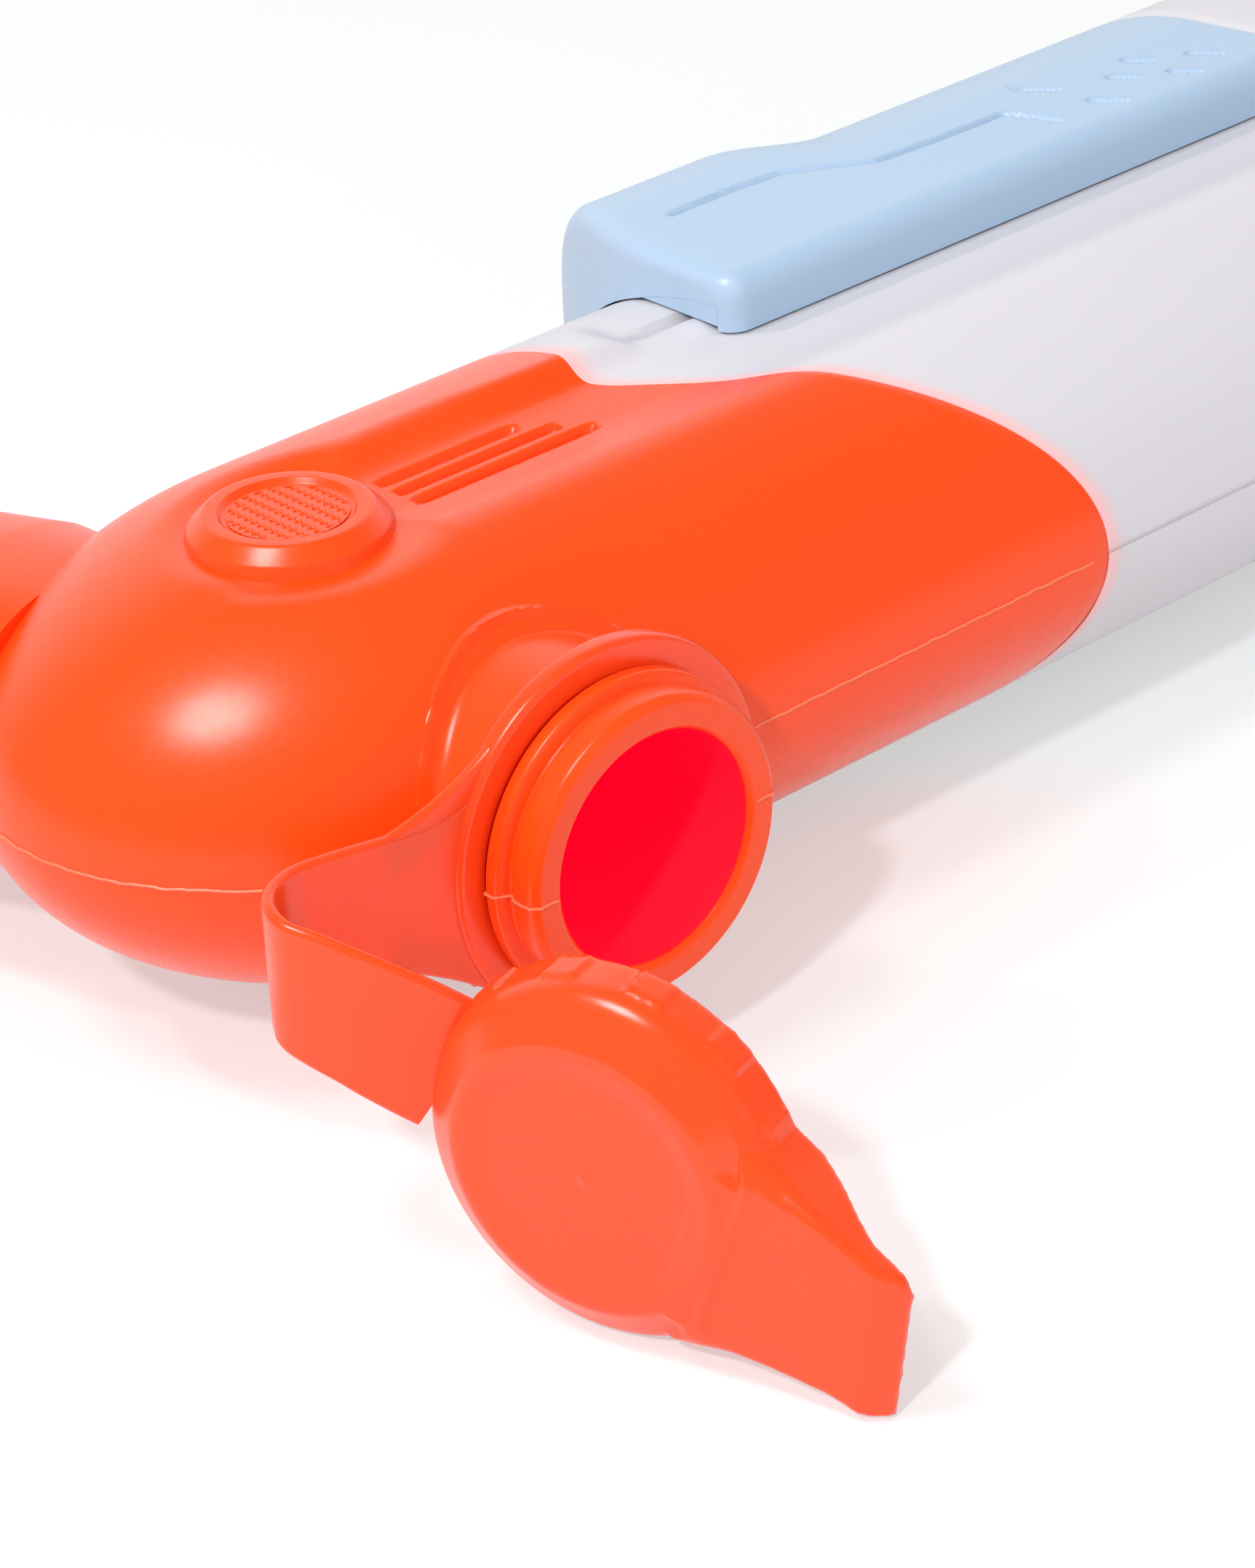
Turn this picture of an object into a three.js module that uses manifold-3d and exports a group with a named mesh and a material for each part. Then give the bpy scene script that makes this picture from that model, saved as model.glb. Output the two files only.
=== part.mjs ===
// Water squirter, lying on its side.
// Millimetres, +X towards the muzzle, +Y towards the underside, +Z up from the floor.
// Inside the toy group z = 0 is the mould parting plane and y = 0 is the barrel's middle height.
import * as THREE from 'three';
import { mergeVertices } from 'three/addons/utils/BufferGeometryUtils.js';
import Module from 'manifold-3d';

const wasm = await Module();
wasm.setup();

// Clearances
const SEAM_GAP = 0.3;
const SEAT_GAP = 0.3;
const SLIDE_GAP = 0.6;
const STOP_GAP = 0.5;

// Body: one oval section shared by the tank and the casing
const BODY_HALF_HEIGHT = 33;
const BODY_HALF_WIDTH = 23.3;
const REAR_DOME_LENGTH = 40;
const MUZZLE_X = 196;
const NOSE_START_X = 150;
const SECTION_SIDES = 32;

// Recessed track along each flank
const TRACK_TOP_Y = -8.2;
const TRACK_LOW_Y = 3.3;
const TRACK_FLOOR_Z = 20.4;
const TRACK_SIDE_SLOPE = 0.6;
const TRACK_FRONT_X = 162;

// Round boss at the rear end of the track
const BOSS_X = -6;
const BOSS_RADIUS = 10.6;
const BOSS_RIM_RADIUS = 8.9;
const BOSS_DISC_RADIUS = 7.1;
const BOSS_HEIGHT = 3.1;
const BOSS_RECESS = 0.9;
const BOSS_MARGIN = 1.2;

// Three grooves in the floor of the track
const GROOVE_LENGTHS = [17.5, 21.5, 25];
const GROOVE_PITCH = 3;
const GROOVE_WIDTH = 1.9;
const GROOVE_DEPTH = 0.9;
const GROOVE_START_X = 6;
const GROOVE_FIRST_Y = 1.6;

// Tank
const TANK_WALL = 2.2;
const JOINT_TOP_X = 72;
const JOINT_LOW_X = 35;
const TONGUE_LENGTH = 10;
const NECK_RADIUS = 15;
const NECK_BORE = 11.6;
const NECK_LENGTH = 10.7;
const NECK_BEAD_RADIUS = 16;
const NECK_BEAD_WIDTH = 2;
const NECK_BEAD_FROM_MOUTH = 4;
const NECK_BASE_RADIUS = 15.8;
const NECK_BASE_HEIGHT = 1.6;

// Grip
const GRIP_RAKE = THREE.MathUtils.degToRad(13);
const GRIP_FRONT_X = -5;
const GRIP_HALF_DEPTH = 17.5;
const GRIP_HALF_WIDTH = 14.5;
const GRIP_LENGTH = 72;
const GRIP_END_ROUND = 7;
const GRIP_ROOT = 16;

// Casing
const CASING_WALL = 2.2;
const MUZZLE_RADIUS = 13.5;
const RIB_THICKNESS = 2.4;
const SCREW_BOSS_RADIUS = 3.6;
const SCREW_XS = [104, 134, 170, 118, 166];
const SCREW_SIDES = [-1, -1, -1, 1, 1];
const SCREW_INSETS = [8, 8, 13, 8, 11];

// Screws
const SCREW_RADIUS = 1.4;
const SCREW_HEAD_RADIUS = 2.7;
const SCREW_HEAD_HEIGHT = 1.8;
const SCREW_GRIP = 5;
const SCREW_BITE = 6;

// Pump handle
const HANDLE_REAR_X = 52.5;
const HANDLE_FRONT_X = 139;
const HANDLE_TOP_Y = 0.9;
const HANDLE_SIDE = 2.7;
const HANDLE_WALL = 2.2;
const HANDLE_EDGE = 3;
const HANDLE_SWELL_FLAT_Y = 23;
const HANDLE_SWELL_DEPTH = 8.4;
const HANDLE_SWELL_END_X = 76;
const HANDLE_WAIST_X = 87;
const HANDLE_WAIST_FLAT_Y = 16;
const HANDLE_WAIST_DEPTH = 4.9;
const HANDLE_FRONT_SLANT = 0.16;
const HANDLE_CREASE_Y = 15;
const HANDLE_REAR_TURN = 0.3;
const HANDLE_SCREW_XS = [66, 75];
const BLOCK_LENGTH = 24;
const BLOCK_NOSE = 9;

// Pump
const PUMP_AXIS_Y = 4;
const STROKE = 32;
const CYLINDER_REAR_X = 104;
const CYLINDER_FRONT_X = 152;
const CYLINDER_RADIUS = 10;
const CYLINDER_WALL = 1.4;
const GUIDE_FLANGE = 2;
const GUIDE_PLUG = 3;
const PISTON_LENGTH = 6;
const PISTON_GAP = 0.3;
const RING_SECTION = 1;
const ROD_RADIUS = 2.5;
const ROD_HEAD_RADIUS = 4.2;
const ROD_HEAD = 2;
const CARRIAGE_LENGTH = 8;
const CARRIAGE_HALF_WIDTH = 3.4;
const CARRIAGE_EYE_RADIUS = 6;
const CARRIAGE_FROM_GUIDE = 4.2;
const HEAD_LENGTH = 9.6;
const DUCT_BORE = 2;
const ELBOW_RADIUS = 4.5;

// Valves
const BALL_RADIUS = 2.6;
const BALL_LIFT = 1.5;
const BALL_GAP = 0.4;
const VALVE_RADIUS = 5;
const VALVE_SEAT_LENGTH = 4;
const VALVE_END = 3;
const SPRING_WIRE = 0.35;
const SPRING_RADIUS = 1.75;
const SPRING_TURNS = 4;
const SPRING_COIL_ROOM = 0.17;
const BARB_RADIUS = 2.6;
const BARB_LENGTH = 7;

// Hose and pick-up tube
const HOSE_STEP = 6.5;
const HOSE_RADIUS = 4;
const HOSE_BORE = 2.9;
const HOSE_BEND = 12;
const OUTLET_FROM_TOP = 11.5;
const TUBE_RADIUS = 2.2;
const TUBE_BORE = 1.4;
const TUBE_STICKOUT = 8;
const GROMMET_FLANGE_RADIUS = 5.6;
const GROMMET_NECK_RADIUS = 4;
const GROMMET_FLANGE = 1.4;

// Nozzle
const NOZZLE_RADIUS = 4.6;
const NOZZLE_BORE = 1;
const NOZZLE_TIP_RADIUS = 2.6;
const NOZZLE_STICKOUT = 9;
const COLLAR_RADIUS = 11;
const COLLAR_LENGTH = 6;

// Strap ring, strap and cap
const STRAP_RING_RADIUS = 18.7;
const STRAP_THICKNESS = 1.3;
const STRAP_WIDTH = 13;
const STRAP_TILT_Z = 4;
const STRAP_RUN = 17.5;
const STRAP_BEND_RADIUS = 5.5;
const STRAP_HINGE_GAP = 0.35;
const CAP_RADIUS = 17.2;
const CAP_DEPTH = 8.4;
const CAP_TOP = 2;
const CAP_BEVEL = 3;
const PLUG_LENGTH = 7;
const PLUG_WALL = 1.3;
const TAB_REACH = 13.7;
const TAB_ROOT_WIDTH = 19;
const TAB_WAIST_WIDTH = 15;
const TAB_END_WIDTH = 15.8;
const TAB_TIP = 1.3;
const TAB_FACET = 2.4;
const TAB_SET_BACK = 0.8;
const CAP_FROM_MOUTH = new THREE.Vector3(-32.6, -25, 0);
const CAP_FACE = new THREE.Vector3(-0.958, -0.288, -0.01).normalize();
const TAB_DROP = THREE.MathUtils.degToRad(18.4);

// Derived places
const HANDLE_HALF_WIDTH = BODY_HALF_WIDTH + SLIDE_GAP + HANDLE_SIDE;
const HANDLE_SWELL_LOW_Y = BODY_HALF_HEIGHT + SLIDE_GAP + HANDLE_SWELL_DEPTH;
const HANDLE_WAIST_LOW_Y = BODY_HALF_HEIGHT + SLIDE_GAP + HANDLE_WAIST_DEPTH;
const SCREW_SPOTS = SCREW_XS.map((x, i) => [x, SCREW_SIDES[i] * (BODY_HALF_HEIGHT - SCREW_INSETS[i])]);
const OUTLET_Y = -BODY_HALF_HEIGHT + OUTLET_FROM_TOP;
const HOSE_Y = OUTLET_Y + HOSE_STEP;
const MOUTH_Y = -BODY_HALF_HEIGHT - NECK_LENGTH;
const RING_THICKNESS = NECK_LENGTH - NECK_BASE_HEIGHT - NECK_BEAD_FROM_MOUTH - NECK_BEAD_WIDTH - 2 * SEAT_GAP;
const RING_Y = -BODY_HALF_HEIGHT - NECK_BASE_HEIGHT - SEAT_GAP - RING_THICKNESS / 2;
const CYLINDER_BORE = CYLINDER_RADIUS - CYLINDER_WALL;
const GUIDE_FRONT_X = CYLINDER_REAR_X + GUIDE_PLUG;
const PISTON_REAR_X = GUIDE_FRONT_X + STOP_GAP + STROKE;
const PISTON_FRONT_X = PISTON_REAR_X + PISTON_LENGTH;
const CARRIAGE_FRONT_X = CYLINDER_REAR_X - GUIDE_FLANGE - CARRIAGE_FROM_GUIDE;
const CARRIAGE_REAR_X = CARRIAGE_FRONT_X - CARRIAGE_LENGTH;
const HEAD_REAR_X = CYLINDER_FRONT_X + SEAT_GAP;
const HEAD_FRONT_X = HEAD_REAR_X + HEAD_LENGTH;
const SPRING_PITCH = 2 * SPRING_WIRE + SPRING_COIL_ROOM + BALL_LIFT / SPRING_TURNS;
const SPRING_LENGTH = SPRING_TURNS * SPRING_PITCH + 2 * SPRING_WIRE;
const BALL_FROM_SEAT = Math.sqrt(BALL_RADIUS ** 2 - DUCT_BORE ** 2) + SEAT_GAP;
const SPRING_FROM_BALL = Math.sqrt(BALL_RADIUS ** 2 - SPRING_RADIUS ** 2) + SPRING_WIRE + SEAT_GAP;
const VALVE_CHAMBER = BALL_FROM_SEAT + SPRING_FROM_BALL + SPRING_LENGTH + SEAT_GAP;
const VALVE_LENGTH = VALVE_SEAT_LENGTH + VALVE_CHAMBER + VALVE_END;
const OUTLET_VALVE_X = HEAD_FRONT_X + SEAT_GAP;
const ELBOW_X = HEAD_REAR_X + HEAD_LENGTH / 2;
const INLET_VALVE_X = ELBOW_X - ELBOW_RADIUS - SEAT_GAP - VALVE_LENGTH;
const NOZZLE_REAR_X = OUTLET_VALVE_X + VALVE_LENGTH + SEAT_GAP;
const COLLAR_REAR_X = MUZZLE_X + SEAT_GAP;
const TONGUE_TOP_X = JOINT_TOP_X + TONGUE_LENGTH;
const TONGUE_LOW_X = JOINT_LOW_X + TONGUE_LENGTH;
const BLOCK_REAR_X = HANDLE_FRONT_X + STOP_GAP;
const FAR = 400;

// Colours
const finish = (color, roughness) => new THREE.MeshStandardMaterial({ color, roughness, metalness: 0 });
const ORANGE = finish(0xff5a1f, 0.35);
const SOFT_ORANGE = finish(0xff5428, 0.4);
const WHITE = finish(0xe9e6ee, 0.4);
const BLUE = finish(0xb9d6f0, 0.4);
const NATURAL = finish(0xf2f0e6, 0.5);
const CLEAR = finish(0xdfe8ea, 0.2);
const RUBBER = finish(0x2b2b2d, 0.8);
const STEEL = new THREE.MeshStandardMaterial({ color: 0xb9bcc0, roughness: 0.3, metalness: 1 });

const toy = new THREE.Group();

/** Adds a named mesh to a group. */
function add(name, geometry, material, parent = toy) {
  const mesh = new THREE.Mesh(geometry, material);
  mesh.name = name;
  parent.add(mesh);
  return mesh;
}

/** Turns a closed geometry into a solid that can be joined and cut. */
function solid(geometry) {
  const bare = geometry.clone();
  bare.deleteAttribute('normal');
  bare.deleteAttribute('uv');
  const merged = mergeVertices(bare.index ? bare.toNonIndexed() : bare, 1e-4);
  const triVerts = new Uint32Array(merged.index.array);
  if (signedVolume(merged) < 0) triVerts.reverse();
  return new wasm.Manifold(new wasm.Mesh({
    numProp: 3,
    vertProperties: new Float32Array(merged.attributes.position.array),
    triVerts,
  }));
}

/** Volume inside an indexed geometry, negative where its faces point inwards. */
function signedVolume(geometry) {
  const corner = [0, 1, 2].map(() => new THREE.Vector3());
  let volume = 0;
  for (let i = 0; i < geometry.index.count; i += 3) {
    corner.forEach((v, k) => v.fromBufferAttribute(geometry.attributes.position, geometry.index.getX(i + k)));
    volume += corner[0].dot(corner[1].cross(corner[2])) / 6;
  }
  return volume;
}

/** Gives a solid back as a geometry. */
function shape(manifold) {
  const mesh = manifold.getMesh();
  const geometry = new THREE.BufferGeometry();
  geometry.setAttribute('position', new THREE.BufferAttribute(new Float32Array(mesh.vertProperties), 3));
  geometry.setIndex(new THREE.BufferAttribute(new Uint32Array(mesh.triVerts), 1));
  geometry.computeVertexNormals();
  return geometry;
}

const join = (...parts) => parts.reduce((whole, part) => whole.add(part));
const cut = (whole, ...tools) => tools.reduce((rest, tool) => rest.subtract(tool), whole);

/** Closed skin through rings of equal count; each end is closed by a fan round its centre. */
function loft(rings) {
  const count = rings[0].length;
  const points = rings.flat();
  const index = [];
  for (let r = 0; r + 1 < rings.length; r += 1) {
    for (let i = 0; i < count; i += 1) {
      const a = r * count + i;
      const b = r * count + ((i + 1) % count);
      index.push(a, b, b + count, a, b + count, a + count);
    }
  }
  for (const [first, flip] of [[0, true], [(rings.length - 1) * count, false]]) {
    const centre = new THREE.Vector3();
    for (let i = 0; i < count; i += 1) centre.addScaledVector(points[first + i], 1 / count);
    points.push(centre);
    const hub = points.length - 1;
    for (let i = 0; i < count; i += 1) {
      const a = first + i;
      const b = first + ((i + 1) % count);
      index.push(...(flip ? [b, a, hub] : [a, b, hub]));
    }
  }
  const geometry = new THREE.BufferGeometry().setFromPoints(points);
  geometry.setIndex(index);
  return geometry.toNonIndexed();
}

/** Prism of a plan outline [[x, y], ...] between two heights. */
function plan(points, z0, z1) {
  const outline = new THREE.Shape(points.map(([x, y]) => new THREE.Vector2(x, y)));
  const geometry = new THREE.ExtrudeGeometry(outline, { depth: z1 - z0, bevelEnabled: false, steps: 1 });
  return solid(geometry.translate(0, 0, z0));
}

/** Box between two corners. */
function block(x0, x1, y0, y1, z0, z1) {
  const geometry = new THREE.BoxGeometry(x1 - x0, y1 - y0, z1 - z0);
  return solid(geometry.translate((x0 + x1) / 2, (y0 + y1) / 2, (z0 + z1) / 2));
}

/** Turned piece about X at height y; profile is [[x, radius], ...] and ends on the axis or closes. */
function turned(profile, y, sides = 24) {
  const points = profile.map(([x, r]) => new THREE.Vector2(r, x));
  const geometry = new THREE.LatheGeometry(points, sides);
  geometry.rotateZ(-Math.PI / 2);
  return geometry.translate(0, y, 0);
}

/** Upright round peg or hole between two heights. */
function peg(x, y, radius, z0, z1, sides = 12) {
  const geometry = new THREE.CylinderGeometry(radius, radius, z1 - z0, sides);
  geometry.rotateX(Math.PI / 2);
  return solid(geometry.translate(x, y, (z0 + z1) / 2));
}

/** Mirror image across the parting plane. */
const mirrored = (manifold) => solid(shape(manifold).scale(1, 1, -1));
const bothSides = (manifold) => join(manifold, mirrored(manifold));

/** Oval ring of the body at x. */
function oval(x, halfHeight, halfWidth, y = 0) {
  return Array.from({ length: SECTION_SIDES }, (_, i) => {
    const t = (2 * Math.PI * i) / SECTION_SIDES;
    return new THREE.Vector3(x, y + halfHeight * Math.cos(t), halfWidth * Math.sin(t));
  });
}

/** The whole body form, drawn in by an inset: domed rear, straight barrel, tapered nose. */
function bodyForm(inset) {
  const rings = [];
  const steps = 6;
  for (let i = 0; i <= steps; i += 1) {
    const t = (Math.PI / 2) * (1 - i / steps);
    const size = Math.max(Math.cos(t), 0.02);
    const x = -(REAR_DOME_LENGTH - inset) * Math.sin(t);
    rings.push(oval(x, (BODY_HALF_HEIGHT - inset) * size, (BODY_HALF_WIDTH - inset) * size));
  }
  const noseSteps = 5;
  for (let i = 0; i <= noseSteps; i += 1) {
    const t = i / noseSteps;
    const bow = 1 - Math.sqrt(1 - Math.min(t * t, 0.97));
    const height = THREE.MathUtils.lerp(BODY_HALF_HEIGHT, MUZZLE_RADIUS, bow / (1 - Math.sqrt(0.03)));
    const width = THREE.MathUtils.lerp(BODY_HALF_WIDTH, MUZZLE_RADIUS, bow / (1 - Math.sqrt(0.03)));
    const y = THREE.MathUtils.lerp(0, PUMP_AXIS_Y, t * t);
    rings.push(oval(THREE.MathUtils.lerp(NOSE_START_X, MUZZLE_X, t), height - inset, width - inset, y));
  }
  return solid(loft(rings));
}

/** Cutter for the recessed tracks, sunk by a wall so that the same form serves inside and out. */
function trackCut(sink, frontX = TRACK_FRONT_X) {
  const floor = TRACK_FLOOR_Z - sink;
  const rise = BODY_HALF_WIDTH + 6 - floor;
  const spread = rise * TRACK_SIDE_SLOPE;
  const outline = new THREE.Shape([
    new THREE.Vector2(TRACK_TOP_Y - sink, floor),
    new THREE.Vector2(TRACK_LOW_Y + sink, floor),
    new THREE.Vector2(TRACK_LOW_Y + sink + spread, floor + rise),
    new THREE.Vector2(TRACK_TOP_Y - sink - spread, floor + rise),
  ]);
  const prism = new THREE.ExtrudeGeometry(outline, { depth: frontX - BOSS_X, bevelEnabled: false, steps: 1 });
  prism.rotateX(Math.PI / 2).rotateZ(Math.PI / 2).translate(BOSS_X, 0, 0);
  const pan = BOSS_RADIUS + BOSS_MARGIN + sink;
  const bowl = new THREE.CylinderGeometry(pan + spread, pan, rise, 24);
  bowl.rotateX(Math.PI / 2).translate(BOSS_X, 0, floor + rise / 2);
  return bothSides(join(solid(prism), solid(bowl)));
}

/** Plan region behind the line where the tank meets the casing, moved forward by a step. */
function tankSide(step) {
  return plan([
    [-FAR, -FAR], [JOINT_TOP_X + step, -FAR], [JOINT_TOP_X + step, -BODY_HALF_HEIGHT],
    [JOINT_LOW_X + step, TRACK_LOW_Y], [JOINT_LOW_X + step, FAR], [-FAR, FAR],
  ], -FAR, FAR);
}

/** Plan region of the tank's tongue inside the casing: its upper front end is square to X. */
function tongueSide(back) {
  const flatLow = OUTLET_Y + GROMMET_FLANGE_RADIUS + 1;
  return plan([
    [-FAR, -FAR], [TONGUE_TOP_X - back, -FAR], [TONGUE_TOP_X - back, flatLow],
    [TONGUE_LOW_X - back, TRACK_LOW_Y], [TONGUE_LOW_X - back, FAR], [-FAR, FAR],
  ], -FAR, FAR);
}

/** Raked grip, drawn in by an inset. */
function gripForm(inset) {
  const along = new THREE.Vector3(-Math.sin(GRIP_RAKE), Math.cos(GRIP_RAKE), 0);
  const across = new THREE.Vector3(Math.cos(GRIP_RAKE), Math.sin(GRIP_RAKE), 0);
  const top = new THREE.Vector3(GRIP_FRONT_X - GRIP_HALF_DEPTH / Math.cos(GRIP_RAKE), BODY_HALF_HEIGHT, 0);
  const ring = (s, size) => Array.from({ length: 24 }, (_, i) => {
    const t = (2 * Math.PI * i) / 24;
    const round = (v) => Math.sign(v) * Math.abs(v) ** 0.8;
    return top.clone().addScaledVector(along, s)
      .addScaledVector(across, round(Math.cos(t)) * ((GRIP_HALF_DEPTH - inset) * size))
      .add(new THREE.Vector3(0, 0, round(Math.sin(t)) * ((GRIP_HALF_WIDTH - inset) * size)));
  });
  const end = GRIP_LENGTH - inset;
  const rings = [ring(-GRIP_ROOT, 1), ring(end - GRIP_END_ROUND, 1)];
  for (const t of [0.5, 0.8, 1]) {
    const size = 1 - (GRIP_END_ROUND / GRIP_HALF_WIDTH) * (1 - Math.sqrt(1 - t * t));
    rings.push(ring(end - GRIP_END_ROUND + t * GRIP_END_ROUND, size));
  }
  return solid(loft(rings));
}

/** Filler neck with its bead and the shoulder under the strap's ring, about the -Y axis at x = 0. */
function neckForm() {
  const seat = BODY_HALF_HEIGHT + NECK_BASE_HEIGHT;
  const root = BODY_HALF_HEIGHT * Math.sqrt(1 - (NECK_BASE_RADIUS / BODY_HALF_WIDTH) ** 2) - TANK_WALL;
  const mouth = BODY_HALF_HEIGHT + NECK_LENGTH;
  const beadTop = mouth - NECK_BEAD_FROM_MOUTH;
  const bead = beadTop - NECK_BEAD_WIDTH;
  const profile = [
    [0, root], [NECK_BASE_RADIUS, root], [NECK_BASE_RADIUS, seat], [NECK_RADIUS, seat], [NECK_RADIUS, bead],
    [NECK_BEAD_RADIUS, bead], [NECK_BEAD_RADIUS, beadTop - NECK_BEAD_WIDTH / 2], [NECK_RADIUS, beadTop],
    [NECK_RADIUS, mouth - 0.8], [NECK_RADIUS - 0.8, mouth], [0, mouth],
  ];
  const geometry = new THREE.LatheGeometry(profile.map(([r, y]) => new THREE.Vector2(r, y)), 32);
  return solid(geometry.rotateZ(Math.PI));
}

/** Upright cylinder along Y between two places, used for the neck's bore. */
function boreY(x, radius, y0, y1, sides = 32) {
  const geometry = new THREE.CylinderGeometry(radius, radius, y1 - y0, sides);
  return solid(geometry.translate(x, (y0 + y1) / 2, 0));
}

/** Raised round boss with a sunk disc, on both flanks. */
function bossForm() {
  const top = TRACK_FLOOR_Z + BOSS_HEIGHT;
  const profile = [
    [0, TRACK_FLOOR_Z - TANK_WALL / 2], [BOSS_RADIUS, TRACK_FLOOR_Z - TANK_WALL / 2], [BOSS_RADIUS, top - 1.6],
    [BOSS_RIM_RADIUS, top], [BOSS_DISC_RADIUS + 0.6, top], [BOSS_DISC_RADIUS, top - BOSS_RECESS],
    [0, top - BOSS_RECESS],
  ];
  const geometry = new THREE.LatheGeometry(profile.map(([r, z]) => new THREE.Vector2(r, z)), 24);
  geometry.rotateX(Math.PI / 2).translate(BOSS_X, 0, 0);
  return bothSides(solid(geometry));
}

/** The three round-ended grooves in the floor of each track. */
function grooveCuts() {
  const cuts = GROOVE_LENGTHS.map((length, i) => {
    const y = GROOVE_FIRST_Y - i * GROOVE_PITCH;
    const r = GROOVE_WIDTH / 2;
    const outline = new THREE.Shape();
    outline.absarc(GROOVE_START_X + length - r, y, r, -Math.PI / 2, Math.PI / 2, false);
    outline.absarc(GROOVE_START_X + r, y, r, Math.PI / 2, Math.PI * 1.5, false);
    const depth = GROOVE_DEPTH + 1;
    const geometry = new THREE.ExtrudeGeometry(outline, { depth, bevelEnabled: false, curveSegments: 3 });
    return solid(geometry.translate(0, 0, TRACK_FLOOR_Z - GROOVE_DEPTH));
  });
  return bothSides(join(...cuts));
}

function buildTank() {
  const inCasing = CASING_WALL + SEAT_GAP;
  const skin = cut(bodyForm(0).intersect(tankSide(0)), trackCut(0));
  const tongue = cut(bodyForm(inCasing).intersect(tongueSide(0)), trackCut(inCasing));
  const mainHollow = cut(bodyForm(TANK_WALL).intersect(tankSide(-TANK_WALL)), trackCut(TANK_WALL));
  const tongueHollow = cut(
    bodyForm(inCasing + TANK_WALL).intersect(tongueSide(TANK_WALL)),
    trackCut(inCasing + TANK_WALL),
  );
  const gripHollow = gripForm(TANK_WALL);
  const bore = boreY(0, NECK_BORE, MOUTH_Y - 1, -BODY_HALF_HEIGHT + 12);
  const outlet = solid(turned([
    [TONGUE_TOP_X - 6, 0], [TONGUE_TOP_X - 6, GROMMET_NECK_RADIUS + SEAT_GAP],
    [TONGUE_TOP_X + 2, GROMMET_NECK_RADIUS + SEAT_GAP], [TONGUE_TOP_X + 2, 0],
  ], OUTLET_Y, 16));
  const outside = join(skin, tongue, gripForm(0), neckForm(), bossForm());
  const inside = join(mainHollow, tongueHollow, gripHollow, bore, outlet);
  add('tank', shape(cut(outside, inside, grooveCuts())), ORANGE);
}

/** Convex outline of the pump handle at x: flat flanks, rounded edges, curved underside. */
function handleRing(x, flatY, lowY, inset, slant = 0, turn = 0) {
  const top = HANDLE_TOP_Y + inset;
  const half = HANDLE_HALF_WIDTH - inset;
  const edge = HANDLE_EDGE;
  const low = lowY - inset;
  const flat = Math.min(flatY, low - 4);
  const side = half * 0.28;
  const upper = [];
  for (let i = 0; i <= 3; i += 1) {
    const t = (Math.PI / 2) * (i / 3);
    upper.push([top + edge * (1 - Math.cos(t)), half - edge * (1 - Math.sin(t))]);
  }
  for (let i = 0; i <= 8; i += 1) {
    const t = (Math.PI / 2) * (i / 8);
    upper.push([flat + (low - flat) * Math.sin(t), side + (half - side) * Math.cos(t)]);
  }
  const lower = upper.map(([y, z]) => [y, -z]).reverse();
  const shift = (y) => slant * (HANDLE_WAIST_FLAT_Y - y) + turn * Math.max(0, y - HANDLE_CREASE_Y);
  return [...upper, ...lower].map(([y, z]) => new THREE.Vector3(x + shift(y), y, z));
}

/** Outer form of the pump handle, drawn in by an inset. */
function handleForm(inset) {
  const swell = [HANDLE_SWELL_FLAT_Y, HANDLE_SWELL_LOW_Y];
  const waist = [HANDLE_WAIST_FLAT_Y, HANDLE_WAIST_LOW_Y];
  const rear = HANDLE_REAR_X + inset;
  const front = HANDLE_FRONT_X - inset;
  return solid(loft([
    handleRing(rear, ...swell, inset + 2.2, 0, HANDLE_REAR_TURN),
    handleRing(rear + 0.8, ...swell, inset + 0.8, 0, HANDLE_REAR_TURN),
    handleRing(rear + 2.6, ...swell, inset, 0, HANDLE_REAR_TURN),
    handleRing(HANDLE_SWELL_END_X, ...swell, inset),
    handleRing(HANDLE_WAIST_X, ...waist, inset),
    handleRing(front - 1.2, ...waist, inset, HANDLE_FRONT_SLANT),
    handleRing(front, ...waist, inset + 0.8, HANDLE_FRONT_SLANT),
  ]));
}

/** Fixed block in front of the handle, which carries the handle's lines on to the nose. */
function noseBlock() {
  const waist = [HANDLE_WAIST_FLAT_Y, HANDLE_WAIST_LOW_Y];
  const end = BLOCK_REAR_X + BLOCK_LENGTH;
  return solid(loft([
    handleRing(BLOCK_REAR_X, ...waist, 0.6, HANDLE_FRONT_SLANT),
    handleRing(BLOCK_REAR_X + 1, ...waist, 0, HANDLE_FRONT_SLANT),
    handleRing(end, ...waist, 0),
    handleRing(end + BLOCK_NOSE * 0.6, ...waist, 1.6),
    handleRing(end + BLOCK_NOSE, ...waist, 5),
  ]));
}

/** Space that the casing and the tank take inside the handle, with the running gap round it. */
function handleChannel() {
  const rings = [0, HANDLE_FRONT_X + 40].map((x) => (
    oval(x, BODY_HALF_HEIGHT + SLIDE_GAP, BODY_HALF_WIDTH + SLIDE_GAP)));
  const wallFace = HANDLE_TOP_Y + HANDLE_WALL * 0.85;
  const ridge = solid(loft(rings)).intersect(block(-FAR, FAR, wallFace, FAR, -FAR, FAR));
  const floor = TRACK_FLOOR_Z + SLIDE_GAP;
  return join(ridge, block(-FAR, FAR, -FAR, wallFace + 2, -floor, floor));
}

function handleScrewY() {
  return (BODY_HALF_HEIGHT + SLIDE_GAP + HANDLE_SWELL_LOW_Y - HANDLE_WALL) / 2;
}

const SCREW_HEAD_Z = -SEAM_GAP / 2 - SCREW_GRIP;
const LEFT_HALF = [SEAM_GAP / 2, FAR];
const RIGHT_HALF = [-FAR, -SEAM_GAP / 2];
const halfSpace = ([z0, z1]) => block(-FAR, FAR, -FAR, FAR, z0, z1);

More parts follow.
